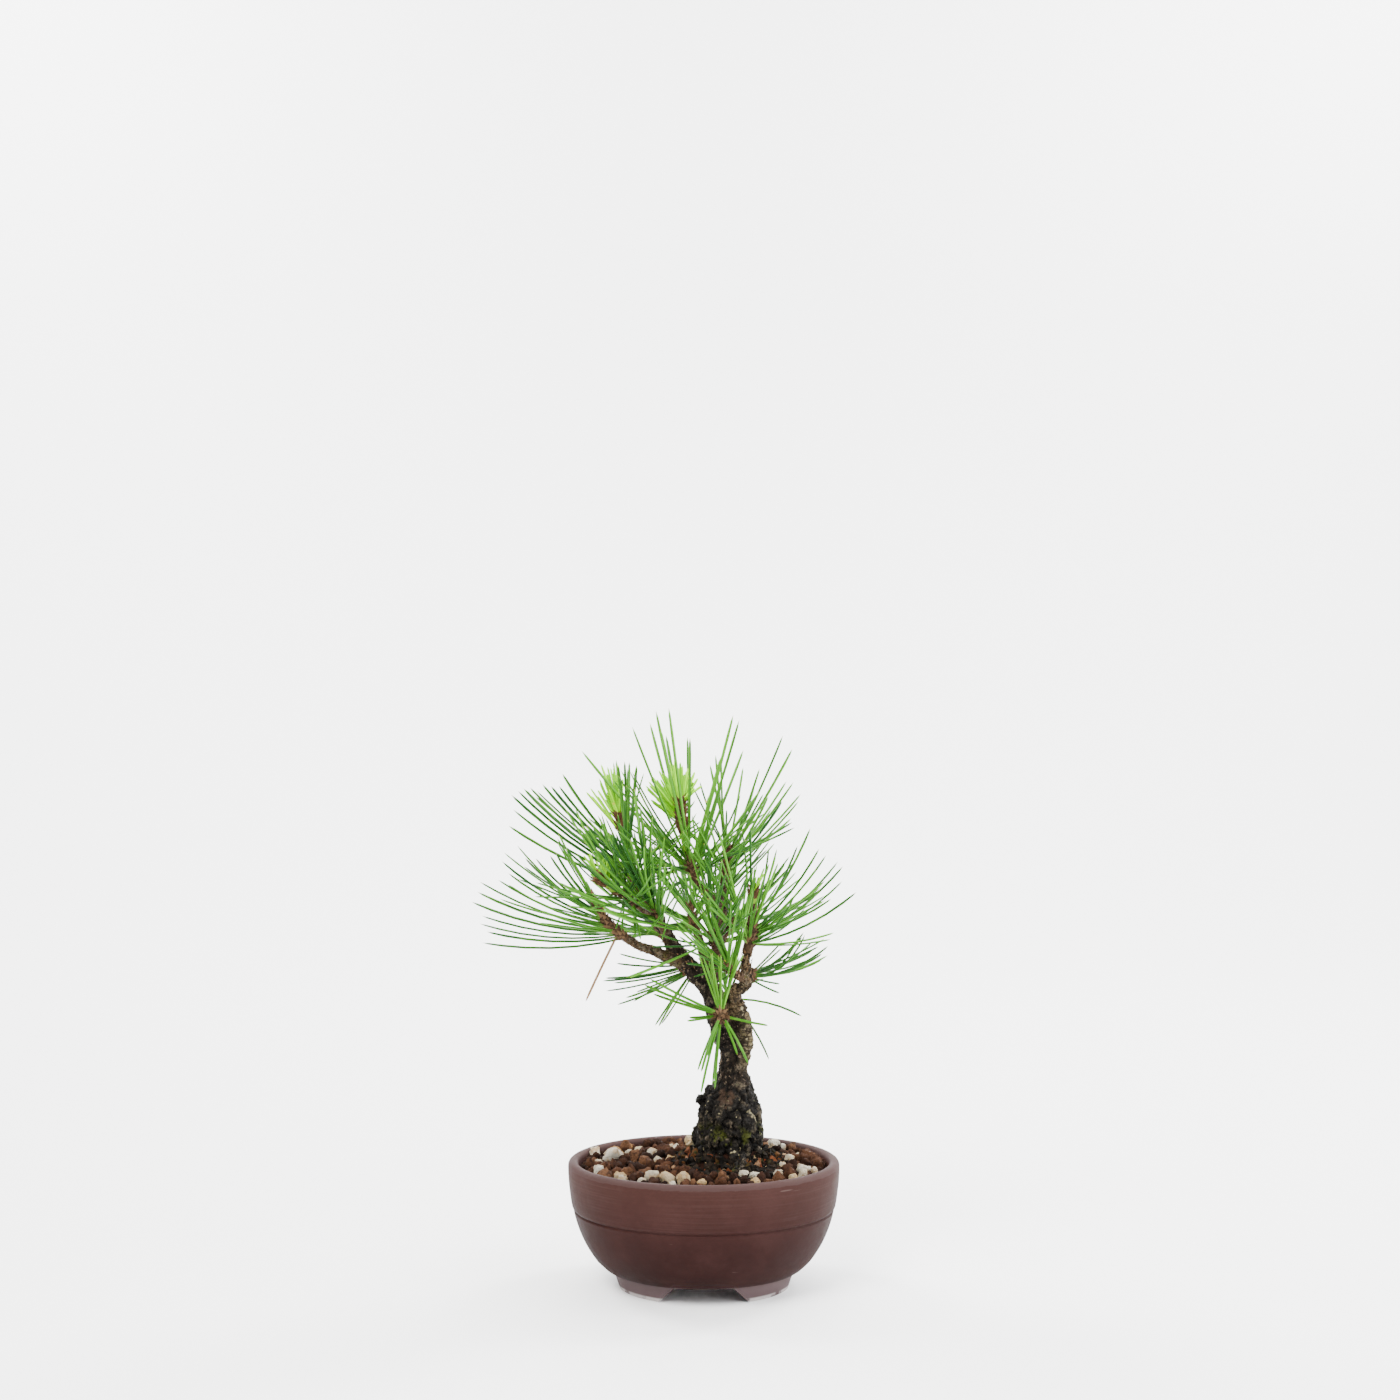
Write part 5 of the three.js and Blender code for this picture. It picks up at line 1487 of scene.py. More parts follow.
@dataclass
class Tree:
    """The trunk with its roots, limbs and twigs, grown together into one skin of bark."""

    voxel: float = 0.52
    plate_size: float = 5.8
    plate_depth: float = 1.05
    chip_size: float = 2.6
    chip_depth: float = 0.4
    scar: Place = (8.9, -11, 84)  # a patch where the plates have come off
    scar_radius: float = 4.6
    moss: Place = (7.0, -12.0, 66.5)
    moss_radius: float = 4.2
    pale_from: Span = (14.5, 17.5)  # below the fork only this side of the stem is pale
    fork: Span = (113, 121)
    knob: Place = (-0.8, -1, 80.6)
    knob_size: Place = (3.6, 3.8, 3.0)
    trunk: Span = (10.9, 2.0)
    roots: tuple[Place, ...] = (  # turn in degrees, reach, thickness
        (-76, 27, 6.0), (-128, 21, 4.6), (172, 24, 5.2), (116, 22, 4.8), (48, 23, 5.0), (-18, 22, 4.4),
    )

    def root_route(self, turn: float, reach: float, thick: float) -> Route:
        """Works out a root flare that dives into the soil.

        Args:
            turn: its direction, in degrees.
            reach: how far it goes from the middle of the trunk.
            thick: its radius.

        Returns:
            Its points.
        """
        x, y = math.cos(math.radians(turn)), math.sin(math.radians(turn))
        stops = ((6, 60, 0.8), (12, 55.5, 1.0), (reach * 0.76, 50.5, 0.72), (reach, 46.5, 0.4))
        return [(self.trunk[0] + out * x, self.trunk[1] + out * y, z, thick * r) for out, z, r in stops]

    def wood(self) -> tuple[BMesh, list[tuple[Station, float, float]]]:
        """Makes every limb as a tube of its own.

        Returns:
            The tubes in one mesh, and each ring with how old and how tan its bark is.
        """
        bm = bmesh.new()
        rings: list[tuple[Station, float, float]] = []

        def grow(route: Route, sides: int, look: Callable[[Station], Span]) -> None:
            """Adds one limb, with its age and tan told by look."""
            rings.extend((at, *look(at)) for at in solid_limb(bm, route, sides, 1.0))

        def stem_look(at: Station) -> Span:
            """Returns the age of the main stem's bark by its height."""
            z = at.centre.z
            return lerp(1.0, 0.72, smooth_step(80, 108, z)) - 0.26 * smooth_step(120, 165, z), 0.0

        grow(MAIN_STEM, 44, stem_look)
        for root in self.roots:
            grow(self.root_route(*root), 20, lambda at: (1.0, 0.0))
        grow(TAN_LIMB, 28, lambda at: (0.62, smooth_step(94, 102, at.centre.z)))
        grow(CENTRE_LIMB, 24, lambda at: (0.42, 0.25))
        grow(BACK_LIMB, 20, lambda at: (0.42, 0.1))
        for shoot in SHOOTS:
            if shoot.twig:
                grow(shoot.twig, 18, lambda at: (0.3, 0.1))
        made = bmesh.ops.create_icosphere(bm, subdivisions=3, radius=1.0)["verts"]
        bmesh.ops.scale(bm, verts=made, vec=self.knob_size)
        bmesh.ops.translate(bm, verts=made, vec=self.knob)
        return bm, rings

    def relief(self, place: Vector, age: float, tan: float, run: float) -> tuple[float, float]:
        """Works out the bark at a place.

        Args:
            place: the point on the wood.
            age: 0 for a twig, 1 for the old trunk.
            tan: 1 on the ringed limb.
            run: the distance along the limb.

        Returns:
            How far the bark stands out, and how deep in a crack the point is, from 0 to 1.
        """
        lift = crack = 0.0
        warp = wobble(place * 0.21) * 1.8 + wobble(place * 0.7) * 0.5
        for size, depth in ((self.plate_size, self.plate_depth), (self.chip_size, self.chip_depth)):
            cell = (place + warp) / size
            cell.z *= 0.62
            near, points = noise.voronoi(cell, distance_metric="DISTANCE")
            gap = 1 - smooth_step(0.03, 0.17, near[1] - near[0])
            lift += depth * (0.9 * noise.cell(points[0] * 3.1) - gap)
            crack = max(crack, gap * min(1.0, depth / self.plate_depth + 0.15))
        strength = smooth_step(0.3, 1.0, age)
        lumps = noise.fractal(place * 0.13, 1.0, 2.0, 3) * 0.85
        lumps += noise.fractal(place * 0.4, 1.0, 2.0, 3) * 0.45
        fine = noise.fractal(place * 0.75, 0.9, 2.1, 3)
        rings = noise.noise(Vector((run * 1.05, place.x * 0.1, place.y * 0.1))) * 0.4
        knobs = noise.noise(place * 0.36) * 0.8
        lift = strength * (lift + lumps) + (0.42 - 0.14 * strength) * fine + tan * (rings + knobs)
        return lift, crack * strength * (1 - 0.6 * tan)

    def build(self, bench: Bench) -> None:
        """Makes the tree.

        Args:
            bench: publishes it.
        """
        bm, rings = self.wood()
        bm = modified(bm, "REMESH", {"mode": "VOXEL", "voxel_size": self.voxel, "adaptivity": 0.0})
        axes = {f"use_axis_{axis}": True for axis in "xyz"}
        for _ in range(2):
            bmesh.ops.smooth_vert(bm, verts=bm.verts[:], factor=0.5, **axes)
        tree = KDTree(len(rings))
        for index, (at, _, _) in enumerate(rings):
            tree.insert(at.centre, index)
        tree.balance()
        names = ("age", "tan", "crack", "run", "scar", "moss")
        layers = [bm.verts.layers.float.new(name) for name in names]
        bm.normal_update()
        moved = []
        for v in bm.verts:
            found = [rings[index] for _, index, _ in tree.find_n(v.co, 5)]
            closeness = [1 / (0.3 + abs((v.co - at.centre).length - at.radius)) for at, _, _ in found]
            total = sum(closeness)
            age = sum(w * ring[1] for w, ring in zip(closeness, found)) / total
            tan = sum(w * ring[2] for w, ring in zip(closeness, found)) / total
            tan *= max(smooth_step(*self.pale_from, v.co.x), smooth_step(*self.fork, v.co.z))
            off = (v.co - Vector(self.scar)).length + noise.noise(v.co * 0.45) * 4
            off += noise.noise(v.co * 1.3) * 1.6
            scar = 1 - smooth_step(self.scar_radius - 1.4, self.scar_radius + 0.4, off)
            off = ((v.co - Vector(self.moss)) * Vector((1, 1, 1.6))).length + noise.noise(v.co * 0.5) * 3
            moss = 1 - smooth_step(self.moss_radius - 1.5, self.moss_radius + 0.5, off)
            best = found[closeness.index(max(closeness))][0]
            run = best.run + (v.co - best.centre).dot(best.side.cross(best.across))
            lift, crack = self.relief(v.co, age, tan, run)
            crack *= 1 - scar
            for layer, value in zip(layers, (age, tan, crack, run, scar, moss)):
                v[layer] = value
            moved.append((v, v.co + v.normal * lerp(lift, -0.4, scar * 0.8)))
        for v, place in moved:
            v.co = place
        bark = BarkFinish().material()
        bench.publish("bark_and_wood", bm, bark, "trunk_and_branches", crease=SMOOTH)


# ---- shoots and needles
@dataclass(frozen=True)
class NeedleLine:
    """Where one needle of the frame lies: it leaves its root along lead and ends along aim."""

    root: Vector
    lead: Vector
    aim: Vector
    length: float
    fan: Fan

    def point(self, t: float) -> Vector:
        """Returns the point at a share of its length."""
        return self.root + self.lead * (t * (1 - t) * self.length) + self.aim * (t * t * self.length)


@dataclass
class NeedlePlan:
    """The rule that the frame's needles were placed by, each clear of wood and of other shoots."""

    width: float = 1.25
    seat: float = 0.35
    kink: float = 0.58
    clear: float = 0.35
    tries: int = 160
    jitter: Span = (6, 22)
    tip_jitter: float = 1.6

    def wood_pieces(self, route: Route, starts_free: bool) -> list[tuple[Vector, Vector, float]]:
        """Cuts a limb into straight pieces, stopped short of its free ends.

        Args:
            route: the limb's points.
            starts_free: whether its first end is free too.

        Returns:
            The start, end and radius of each.
        """
        ends = [Vector(p[:3]) for p in route]
        ends[-1] = ends[-1] - (ends[-1] - ends[-2]).normalized() * route[-1][3]
        if starts_free:
            ends[0] = ends[0] + (ends[1] - ends[0]).normalized() * route[0][3]
        radii = [max(a[3], b[3]) for a, b in zip(route, route[1:])]
        return list(zip(ends, ends[1:], radii))

    def draw(self, fan: Fan, route: Route, index: int, wander: float, chance: Draw) -> NeedleLine:
        """Draws one needle of a fan.

        Args:
            fan: the fan.
            route: the shoot that it roots on.
            index: the needle's number in the fan.
            wander: how far off its place it may point, in degrees.
            chance: gives the next number from 0 to 1.

        Returns:
            Where it lies.
        """
        share = (index + 0.5) / fan.count if fan.tips else fraction(0.3 + index * PLASTIC_SHARE)
        seat, radius = place_along(route, lerp(*fan.along, share))
        reach = wander * (self.tip_jitter if fan.tips else 1)
        tilt = lerp(*fan.delta, fraction(0.5 + index * GOLDEN_SHARE))
        delta = math.radians(tilt + (chance() * 2 - 1) * reach)
        if fan.tips:
            x, z = fan.tips[index]
            y = seat.y + math.hypot(x - seat.x, z - seat.z) * math.tan(delta)
            way = EYE + (Vector((x, 0, z)) - EYE) * (1 - y / EYE.y) - seat
        else:
            alpha = math.radians(lerp(*fan.alpha, (index + 0.5) / fan.count) + (chance() * 2 - 1) * reach)
            flat = math.cos(delta)
            aim = Vector((math.cos(alpha) * flat, math.sin(delta), math.sin(alpha) * flat))
            way = aim * lerp(*fan.length, chance())
        aim = way.normalized()
        lead = (aim + Vector((0, 0, -fan.bow))).normalized()
        return NeedleLine(seat + lead * (self.seat * radius), lead, aim, way.length, fan)

    def halves(self, line: NeedleLine) -> tuple[tuple[Vector, Vector], tuple[Vector, Vector]]:
        """Returns a needle as two straight pieces that meet at its bend."""
        bend = line.point(self.kink)
        return (line.root, bend), (bend, line.root + line.aim * line.length)

    def lines(self) -> dict[str, list[NeedleLine]]:
        """Returns the needles of every shoot, by its name."""
        owners: list[str] = []
        starts: list[Vector] = []
        ends: list[Vector] = []
        radii: list[float] = []

        def add(owner: str, pieces: Iterable[tuple[Vector, Vector, float]]) -> None:
            """Notes straight pieces that other shoots' needles must stay clear of.

            Args:
                owner: the shoot, or tree.
                pieces: the start, end and radius of each.
            """
            for a, b, radius in pieces:
                owners.append(owner)
                starts.append(a)
                ends.append(b)
                radii.append(radius)

        for limb in (MAIN_STEM[1:], *LIMBS, *(s.twig for s in SHOOTS if s.twig)):
            add("tree", self.wood_pieces(limb, False))
        for shoot in SHOOTS:
            add(shoot.name, self.wood_pieces(core_route(shoot), True))
        needle_radius = self.width / math.sqrt(3)
        drawn = {}
        for number, shoot in enumerate(SHOOTS):
            route = core_route(shoot)
            other = np.array([owner != shoot.name for owner in owners])
            a, b = np.array(starts)[other], np.array(ends)[other]
            room = np.array(radii)[other] + needle_radius + self.clear
            found = []
            for fan_number, fan in enumerate(shoot.fans):
                chance = seeded(1000 * (number + 1) + 37 * fan_number)
                for index in range(fan.count):
                    for attempt in range(self.tries):
                        wander = lerp(*self.jitter, attempt / self.tries)
                        line = self.draw(fan, route, index, wander, chance)
                        if all(self.is_clear(*ends, a, b, room) for ends in self.halves(line)):
                            found.append(line)
                            break
            for line in found:
                add(shoot.name, [(*ends, needle_radius) for ends in self.halves(line)])
            drawn[shoot.name] = found
        return drawn

    @staticmethod
    def is_clear(start: Vector, end: Vector, a: np.ndarray, b: np.ndarray, room: np.ndarray) -> bool:
        """Tells whether a straight piece is clear of others.

        Args:
            start: where it starts.
            end: where it ends.
            a: where each of the others starts.
            b: where each of them ends.
            room: the least distance from each of them.

        Returns:
            True if it stays further than that from all of them.
        """
        u = np.array(end - start)
        v = b - a
        w = np.array(start) - a
        uu, uv, vv = u @ u, v @ u, np.einsum("ij,ij->i", v, v)
        uw, vw = w @ u, np.einsum("ij,ij->i", v, w)
        spread = uu * vv - uv * uv
        crosses = spread > 1e-9
        s = np.where(crosses, np.clip((uv * vw - vv * uw) / np.where(crosses, spread, 1), 0, 1), 0)
        t = np.clip((uv * s + vw) / vv, 0, 1)
        s = np.clip((uv * t - uw) / uu, 0, 1)
        gap = np.linalg.norm(w + s[:, None] * u - t[:, None] * v, axis=1)
        return bool((gap > room).all())


@dataclass
class Blade:
    """The shape of a needle: its corners, and where along it each of its rings lies."""

    sides: int
    shares: tuple[float, ...]

    def __post_init__(self) -> None:
        """Makes the upright template."""
        self.mesh = tube_template(self.sides, len(self.shares) - 1, pointed=True)


@dataclass
class Foliage:
    """Every shoot: its scaly stem, and its needles in pairs, each pair in a brown sheath."""

    plan: NeedlePlan = field(default_factory=NeedlePlan)
    width: float = 1.08
    fringe: tuple[float, Span] = (1.25, (0.0, 0.22))  # width and tones of the needles placed by their tips; the dark tones are painted shade on the shoots' outer needles
    # per shoot: lighter tones are painted light on the top and upper right shoots, and darker ones are
    # painted shade on the others
    fringes: dict[str, tuple[float, Span]] = field(default_factory=lambda: {
        "top": (1.5, (0.4, 0.9)), "upper_right": (1.25, (0.35, 0.95)), "upper_left": (1.6, (0.0, 0.4)),
        "lower_left": (1.05, (0.0, 0.4)), "right_low": (1.05, (0.0, 0.4)), "trunk_back": (1.1, (0.0, 0.3)),
    })
    young_widths: dict[str, float] = field(default_factory=lambda: {
        "candle_top": 1.2, "candle_upper_left": 1.15, "candle_left": 0.95, "candle_right": 1.0,
    })
    flat: float = 0.85
    part: Span = (2.0, 10.0)  # degrees that the second needle of a pair curves away from the first
    second: Span = (3.0, 8.0)  # degrees that the second pair on a line leans away from the first
    sheath: Span = (2.0, 3.4)
    shaggy: dict[str, float] = field(default_factory=lambda: {"trunk_front": 1.35})  # longer scales
    dense: tuple[str, ...] = ("inner_left", "back_top", "back_left", "back_right")
    scale_width: float = 0.7  # over a scale's length, as its depth is
    scale_depth: float = 0.4
    set_back: float = 1.2  # the brush of a candle is open to the front
    dead_length: float = 1.3  # over that of the frame's needle
    stem_depths: Span = (2.2, 1.0)  # how deep a shoot's stem, and a candle's, roots in what carries it
    brushes: dict[str, int] = field(default_factory=lambda: {  # young needles to each one of the frame
        "candle_top": 7, "candle_upper_left": 6, "candle_left": 5, "candle_right": 3,
    })
    profile: tuple[Span, ...] = (
        (0, 0.62), (0.05, 0.85), (0.15, 1.0), (0.88, 0.98), (0.94, 0.84), (0.975, 0.55), (1.0, 0.1),
    )
    long_shares: tuple[float, ...] = (0, 0.06, 0.17, 0.34, 0.52, 0.70, 0.86, 0.955, 1)
    short_shares: tuple[float, ...] = (0, 0.15, 0.4, 0.65, 0.85, 0.95, 1)

    def __post_init__(self) -> None:
        """Makes the shapes that are used over and over."""
        self.looks: dict[str, Material] = {}
        self.long, self.short = Blade(6, self.long_shares), Blade(6, self.short_shares)
        self.collar = tube_template(7, 3)
        bm = bmesh.new()
        bmesh.ops.create_cone(bm, cap_ends=True, segments=5, radius1=0.5, radius2=0.04, depth=1.0)
        bmesh.ops.translate(bm, verts=bm.verts[:], vec=(0, 0, 0.5))
        self.scale = bpy.data.meshes.new("scale")
        bm.to_mesh(self.scale)
        bm.free()

    def needle(
        self, bm: BMesh, line: NeedleLine, side: Vector, tone: float, blade: Blade, width: float,
    ) -> None:
        """Adds one needle.

        Args:
            bm: the mesh that takes it.
            line: where it lies.
            side: the direction of its broad face.
            tone: how light it is, from 0 to 1.
            blade: its shape.
            width: its width.
        """
        radii = [width / 2 * float(np.interp(t, *zip(*self.profile))) for t in blade.shares]
        stations = stations_on([line.point(t) for t in blade.shares], radii, side)
        along, light, edge = (bm.verts.layers.float[name] for name in ("along", "tone", "side"))
        for v in copy_into(bm, blade.mesh):
            # the place across the blade, which the needle material paints shade by
            v[edge] = v.co.x
            ring = round(v.co.z * (len(stations) - 1))
            at = stations[ring]
            v.co = at.centre + at.side * (v.co.x * at.radius) + at.across * (v.co.y * at.radius * self.flat)
            v[along] = blade.shares[ring]
            v[light] = tone

    def tuft(
        self, bm: BMesh, line: NeedleLine, pairs: int, look: tuple[float, Span], chance: random.Random,
    ) -> None:
        """Adds the needles of one line of the frame: one of a pair by its tip, or whole pairs.

        Args:
            bm: the mesh that takes them.
            line: where they lie.
            pairs: how many pairs stand for it.
            look: the width of a needle placed by its tip, and its tones from and to, which carry the shoot's
                painted light and shade.
            chance: the random numbers.
        """
        if line.fan.tips:
            side = Vector([chance.uniform(-1, 1) for _ in range(3)])
            width, tones = look
            self.needle(bm, line, side, chance.uniform(*tones), self.long, width * chance.uniform(0.88, 1.06))
            return
        for leans in (0.0, math.tan(math.radians(chance.uniform(*self.second))))[:pairs]:
            turn = Matrix.Rotation(chance.uniform(0, FULL_TURN), 3, line.aim)
            across = turn @ square_to(line.aim, Vector((0.3, 1, 0.2)))
            aim = (line.aim + across * leans).normalized()
            lead = (line.lead + across * leans).normalized()
            length = line.length * (chance.uniform(0.9, 1.0) if leans else 1.0)
            root = line.root + across * (0.8 if leans else 0)
            self.pair(bm, NeedleLine(root, lead, aim, length, line.fan), chance)

    def pair(self, bm: BMesh, line: NeedleLine, chance: random.Random) -> None:
        """Adds two needles that leave one sheath together and curve apart.

        Args:
            bm: the mesh that takes them.
            line: where they lie.
            chance: the random numbers.
        """
        turn = Matrix.Rotation(chance.uniform(0, FULL_TURN), 3, line.aim)
        across = turn @ square_to(line.aim, Vector((0.3, 1, 0.2)))
        lean = math.tan(math.radians(chance.uniform(*self.part)))
        tone = chance.random()
        for share in (0, 1):
            aim = (line.aim + across * (share * lean)).normalized()
            root = line.root + across * (share - 0.5) * 0.6
            length = line.length * (chance.uniform(0.93, 1.0) if share else 1.0)
            twin = NeedleLine(root, line.lead, aim, length, line.fan)
            shade = min(1.0, max(0.0, tone + chance.uniform(-0.2, 0.2)))
            width = self.width * chance.uniform(0.88, 1.08)
            self.needle(bm, twin, across.cross(aim), shade, self.long, width)

    def add_sheath(self, bm: BMesh, line: NeedleLine, times: float, chance: random.Random) -> None:
        """Adds the brown sheath round the foot of a pair.

        Args:
            bm: the mesh that takes it.
            line: where the pair lies.
            times: its length over the usual one.
            chance: the random numbers.
        """
        long = chance.uniform(*self.sheath) * lerp(1.0, times, 0.6)
        shares = [k / 3 for k in range(4)]
        centres = [line.root + line.lead * (long * share) for share in shares]
        stations = stations_on(centres, [0.7, 0.86, 0.76, 0.62], Vector((0.1, 1, 0.3)))
        tone = bm.verts.layers.float["tone"]
        shade = chance.random()
        for v in sweep(bm, self.collar, stations):
            v[tone] = shade

    def scales(
        self, bm: BMesh, route: Route, stretch: Span, pitch: float, size: Span, chance: random.Random,
    ) -> None:
        """Adds pointed scales round a stem in a spiral.

        Args:
            bm: the mesh that takes them.
            route: the stem.
            stretch: the share of the stem that has them.
            pitch: how far apart they are along the stem, in millimetres.
            size: their length, from and to.
            chance: the random numbers.
        """
        stations = limb_stations(route, 0.5)
        first, last = (round(share * (len(stations) - 1)) for share in stretch)
        reach = stations[last].run - stations[first].run
        count = max(1, round(reach / pitch))
        tone = bm.verts.layers.float["tone"]
        for k in range(count):
            at = stations[round(lerp(first, last, (k + 0.5) / count))]
            turn = k * GOLDEN_ANGLE
            out = at.side * math.cos(turn) + at.across * math.sin(turn)
            along = at.side.cross(at.across).normalized()
            tip = (along + out * chance.uniform(0.35, 1.0)).normalized()
            wide = out.cross(along).normalized()
            thick = tip.cross(wide)
            long = chance.uniform(*size)
            base = at.centre + out * (at.radius * 0.8)
            light = chance.random()
            for v in copy_into(bm, self.scale):
                x, y, z = v.co.x * self.scale_width, v.co.y * self.scale_depth, v.co.z
                v.co = base + wide * (x * long) + thick * (y * long) + tip * (z * long)
                v[tone] = light

    @staticmethod
    def rooted(route: Route, depth: float) -> Route:
        """Returns the stem with its foot that much deeper in what carries it."""
        foot, after = Vector(route[0][:3]), Vector(route[1][:3])
        return ((*(foot + (foot - after).normalized() * depth), route[0][3]), *route[1:])

    def stem(self, bm: BMesh, route: Route, tone_value: float) -> None:
        """Adds the shoot's own stem, rounded off at its end.

        Args:
            bm: the mesh that takes it.
            route: its points.
            tone_value: how light it is, from 0 to 1.
        """
        stations = limb_stations(route, 0.8)
        template = tube_template(14, len(stations) - 1)
        tone = bm.verts.layers.float["tone"]
        for v in sweep(bm, template, stations):
            v.co += wobble(v.co * 0.9) * 0.12
            v[tone] = tone_value
        bpy.data.meshes.remove(template)

    @staticmethod
    def new_mesh(*layers: str) -> BMesh:
        """Makes an empty mesh that holds numbers at its corners.

        Args:
            layers: the numbers' names.

        Returns:
            The mesh.
        """
        bm = bmesh.new()
        for layer in layers:
            bm.verts.layers.float.new(layer)
        return bm

    def mature(self, bench: Bench, shoot: Shoot, lines: Sequence[NeedleLine], number: int) -> None:
        """Makes one shoot of full-grown needles.

        Args:
            bench: publishes its pieces.
            shoot: the shoot.
            lines: its needles in the frame.
            number: its place in SHOOTS, which seeds its random numbers.
        """
        chance = random.Random(500 + number)
        green, dead = (self.new_mesh("along", "tone", "side") for _ in range(2))
        brown, times = self.new_mesh("tone"), self.shaggy.get(shoot.name, 1.0)
        look = self.fringes.get(shoot.name, self.fringe)
        for line in lines:
            if line.fan.dead:
                longer = NeedleLine(line.root, line.lead, line.aim, line.length * self.dead_length, line.fan)
                self.needle(dead, longer, Vector((1, 0, 0)), 0.4, self.long, self.fringe[0])
                continue
            self.tuft(green, line, 2 if shoot.name in self.dense else 1, look, chance)
            self.add_sheath(brown, line, times, chance)
        route = core_route(shoot)
        self.stem(brown, self.rooted(route, self.stem_depths[0]), 0.15)
        self.scales(brown, route, (0.02, 1.0), 0.32 / times, (1.5 + 0.7 * times, 2.0 + 1.1 * times), chance)
        if shoot.twig:
            self.scales(brown, shoot.twig, (0.3, 1.0), 0.42, (1.0, 1.7), chance)
        name, finish = shoot.name, shoot.finish
        looks, node = self.looks[finish.name], f"needles_{name}"
        bench.publish(f"{name}_needles", green, looks, node, crease=NEEDLE_CREASE)
        bench.publish(f"{name}_shoot", brown, self.looks[SHOOT_BARK.name], crease=SCALE_CREASE)
        if dead.verts:
            bench.publish("dead_needle", dead, self.looks[DEAD.name], crease=NEEDLE_CREASE)
        else:
            dead.free()

    def candle(self, bench: Bench, shoot: Shoot, lines: Sequence[NeedleLine], number: int) -> None:
        """Makes one young candle: a green stem, red-brown scales and a brush of short needles.

        Args:
            bench: publishes its pieces.
            shoot: the candle.
            lines: its needles in the frame.
            number: its place in SHOOTS, which seeds its random numbers.
        """
        chance = random.Random(900 + number)
        lime, name = self.new_mesh("along", "tone", "side"), shoot.name
        stem, scales = self.new_mesh("tone"), self.new_mesh("tone")
        for line in lines:
            for _ in range(self.brushes[name]):
                tilt = Vector([chance.uniform(-0.2, 0.2) for _ in range(3)])
                open_front = Vector((line.aim.x, abs(line.aim.y) * 0.7 + 0.06, line.aim.z))
                aim = (open_front + tilt).normalized()
                jitter = Vector([chance.uniform(-0.5, 0.5) for _ in range(3)])
                root = line.root + jitter + aim * chance.uniform(-1, 2) + Vector((0, self.set_back, 0))
                near = NeedleLine(root, aim, aim, line.length * chance.uniform(0.58, 1.0), line.fan)
                side = square_to(aim, tilt + Vector((0, 0.01, 0)))
                self.needle(lime, near, side, chance.random(), self.short, self.young_widths[name])
        route = core_route(shoot)
        self.stem(stem, self.rooted(route, self.stem_depths[1]), 0.5)
        self.scales(scales, route, (0.05, 0.48), 1.1, (1.4, 2.4), chance)
        self.scales(scales, route, (0.45, 1.0), 0.13, (2.2, 4.6), chance)
        finish = shoot.finish
        looks, stems, reds = (self.looks[key.name] for key in (finish, GREEN_STEM, RED_SCALES))
        bench.publish(f"{name}_needles", lime, looks, name, crease=NEEDLE_CREASE)
        bench.publish(f"{name}_stem", stem, stems)
        bench.publish(f"{name}_scales", scales, reds, crease=SCALE_CREASE)

    def build(self, bench: Bench) -> None:
        """Makes all the shoots.

        Args:
            bench: publishes them.
        """
        finishes = (MATURE, PALE, YOUNG, DEAD, SHOOT_BARK, GREEN_STEM, RED_SCALES)
        self.looks = {finish.name: finish.material() for finish in finishes}
        bracts, chance = self.new_mesh("tone"), random.Random(41)
        for limb, start in ((MAIN_STEM, 0.74), (CENTRE_LIMB, 0.1), (TAN_LIMB, 0.8), (BACK_LIMB, 0.1)):
            self.scales(bracts, limb, (start, 1), 0.4, (1.0, 2.1), chance)
        bench.publish("limb_bracts", bracts, self.looks[SHOOT_BARK.name], crease=SCALE_CREASE)
        lines = self.plan.lines()
        for number, shoot in enumerate(SHOOTS):
            make = self.candle if shoot.after else self.mature
            make(bench, shoot, lines[shoot.name], number)
        LOG.info("needles placed: %d", sum(map(len, lines.values())))


# ---- studio
@dataclass(frozen=True)
class Lamp:
    """A square soft light, in metres and watts: where it stands and the point that it faces."""

    name: str
    place: Place
    size: float
    power: float
    target: Place
    colour: Colour = (1.0, 1.0, 1.0)

    def build(self, origin: Vector) -> None:
        """Hangs the lamp.

        Args:
            origin: the point that its place and its target are measured from.
        """
        light = bpy.data.lights.new(self.name, "AREA")
        light.size, light.energy, light.color = self.size, self.power, self.colour
        lamp = bpy.data.objects.new(self.name, light)
        lamp.location = origin + Vector(self.place)
        facing = origin + Vector(self.target) - lamp.location
        lamp.rotation_euler = facing.to_track_quat("-Z", "Y").to_euler()
        bpy.context.scene.collection.objects.link(lamp)


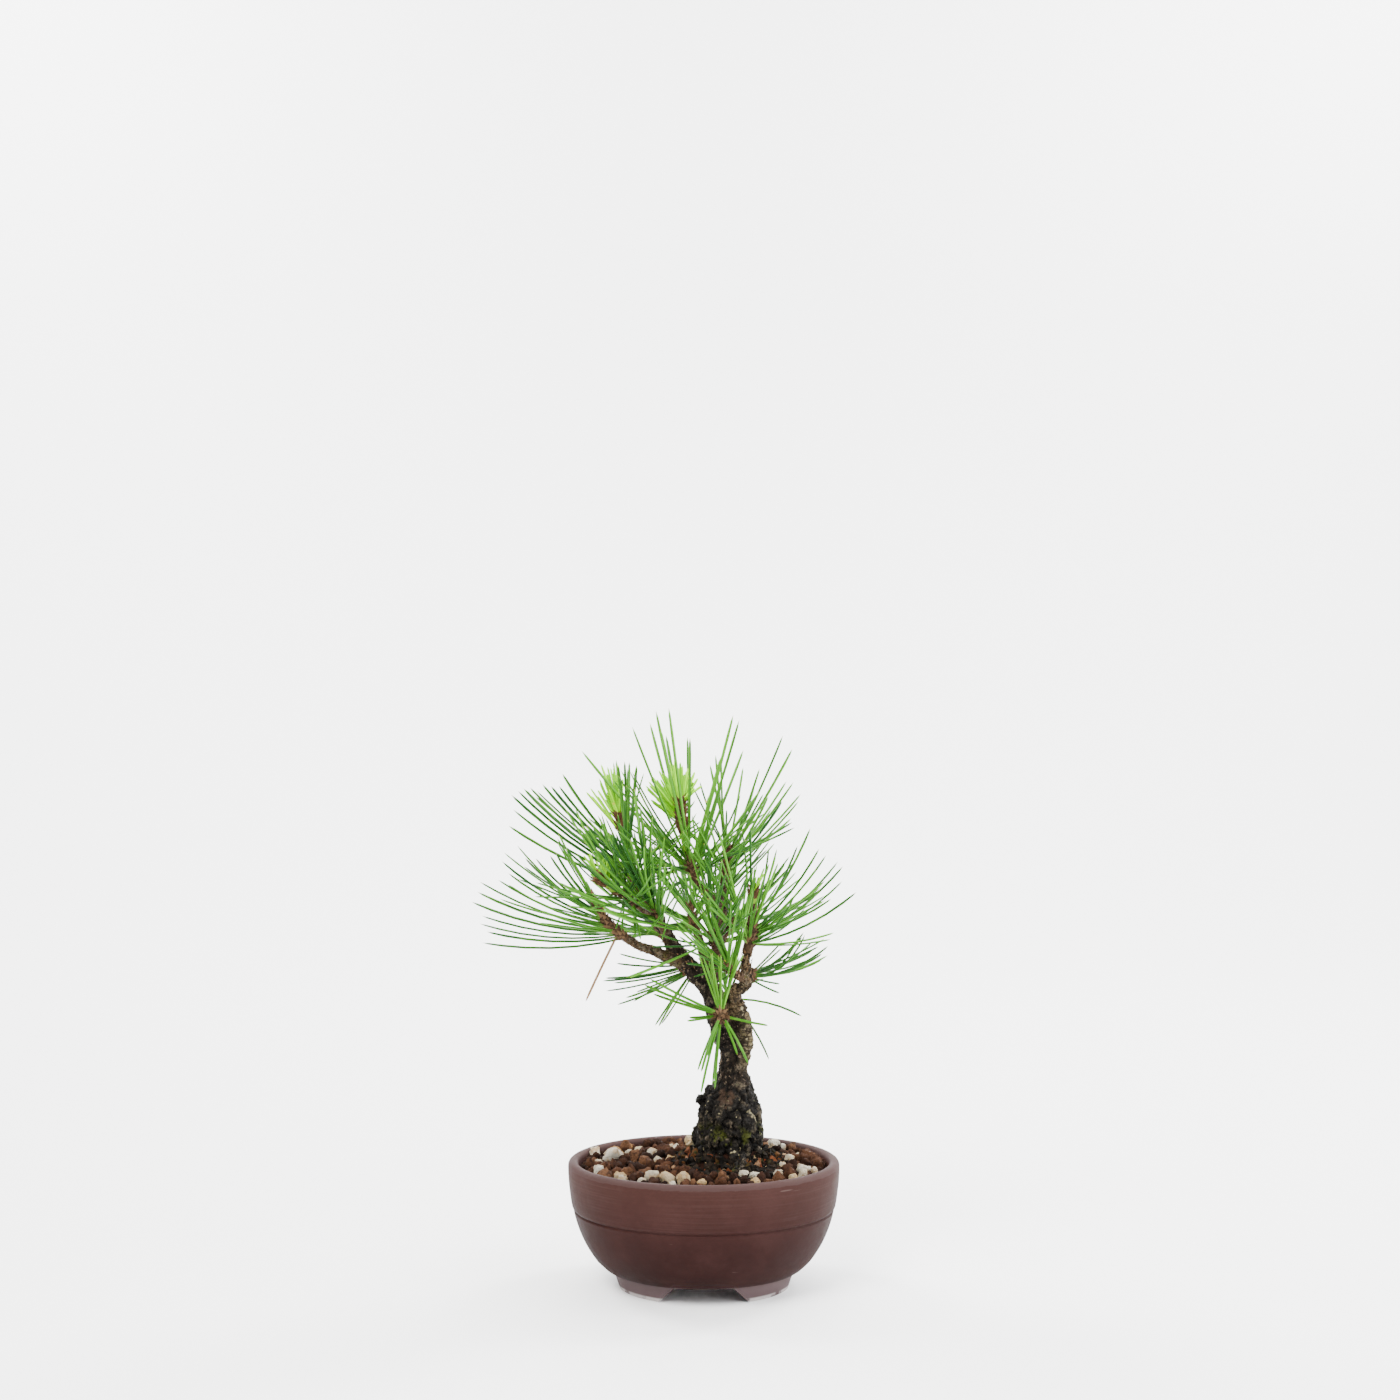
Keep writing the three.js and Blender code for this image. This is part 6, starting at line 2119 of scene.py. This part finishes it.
@dataclass
class Studio:
    """The pale floor and backdrop, the soft lights and the camera."""

    focal_pixels: float = 1845.0
    picture_pixels: float = 1400.0
    film_width: float = 36.0
    floor_size: float = 3.0
    curve_steps: int = 12
    curve_step: float = 0.13
    wall_height: float = 4.0
    paper: Colour = (0.82, 0.82, 0.82)
    sky: Colour = (0.93, 0.96, 1.0)
    sky_strength: float = 0.55
    crown_height: float = 0.14
    plant_lamps: tuple[Lamp, ...] = (  # placed from the middle of the plant
        Lamp("key", (-0.55, -0.75, 1.05), 0.7, 52, (0, 0, 0), (1.0, 0.985, 0.96)),
        Lamp("fill", (0.95, -0.65, 0.55), 1.0, 24, (0, 0, 0), (0.96, 0.98, 1.0)),
        Lamp("side", (1.15, 0.05, 0.4), 0.6, 19, (0, 0, 0)),
        Lamp("top", (0.1, 0.35, 1.25), 1.0, 32, (0, 0, 0)),
    )
    wall_lamps: tuple[Lamp, ...] = (  # placed from the origin
        Lamp("wall_left", (-1.3, 0.9, 1.7), 0.8, 122, (0, 2.2, 0.5)),
        Lamp("wall_right", (1.3, 0.9, 1.7), 0.8, 122, (0, 2.2, 0.5)),
    )

    def lay_paper(self) -> None:
        """Makes the floor, which curves up into the wall behind."""
        bm = bmesh.new()
        bmesh.ops.create_grid(bm, x_segments=1, y_segments=1, size=self.floor_size)
        for v in bm.verts:
            v.co.y = v.co.y * 0.75 - 1.25
        for step in range(self.curve_steps):
            furthest = max(v.co.y for v in bm.verts) - 1e-5
            back = [e for e in bm.edges if all(v.co.y > furthest for v in e.verts)]
            turn = math.pi / 2 * (step + 0.5) / self.curve_steps
            reach = self.curve_step if step < self.curve_steps - 1 else self.wall_height
            move = Vector((0, math.cos(turn), math.sin(turn))) * reach
            made = bmesh.ops.extrude_edge_only(bm, edges=back)["geom"]
            bmesh.ops.translate(bm, verts=[g for g in made if isinstance(g, BMVert)], vec=move)
        mesh = bpy.data.meshes.new("floor")
        bm.to_mesh(mesh)
        bm.free()
        mesh.shade_smooth()
        floor = bpy.data.objects.new("floor", mesh)
        bpy.context.scene.collection.objects.link(floor)
        make = NodeBench("paper", Specular_IOR_Level=0.2)
        grain = make.noise(300, 3)
        make.colour = self.paper
        floor.data.materials.append(make.finish(make.spread(grain, 0, 1, (0.7, 0.8))))

    def build(self, bench: Bench) -> None:
        """Sets the floor, the lights and the camera.

        Args:
            bench: knows where the plant stands.
        """
        self.lay_paper()
        for lamp in self.plant_lamps:
            lamp.build(bench.middle + Vector((0, 0, self.crown_height)))
        for lamp in self.wall_lamps:
            lamp.build(Vector((0, 0, 0)))
        world = bpy.data.worlds.new("world")
        world.use_nodes = True
        surroundings = world.node_tree.nodes["Background"].inputs
        surroundings["Color"].default_value = (*self.sky, 1.0)
        surroundings["Strength"].default_value = self.sky_strength
        bpy.context.scene.world = world
        lens = bpy.data.cameras.new("camera")
        lens.sensor_fit, lens.sensor_width = "HORIZONTAL", self.film_width
        lens.lens = lens.sensor_width * self.focal_pixels / self.picture_pixels
        lens.clip_start, lens.clip_end = 0.02, 50.0
        camera = bpy.data.objects.new("camera", lens)
        camera.location = bench.to_frame @ EYE
        camera.rotation_euler = (math.pi / 2, 0, 0)
        bpy.context.scene.collection.objects.link(camera)
        bpy.context.scene.camera = camera


def main() -> None:
    """Builds the bonsai piece by piece, then the studio round it."""
    logging.basicConfig(level=logging.INFO, format="%(name)s: %(message)s")
    bench = Bench()
    for assembly in (Pot(), Drainage(), Soil(), Tree(), Foliage(), Studio()):
        assembly.build(bench)


if __name__ == "__main__":
    main()
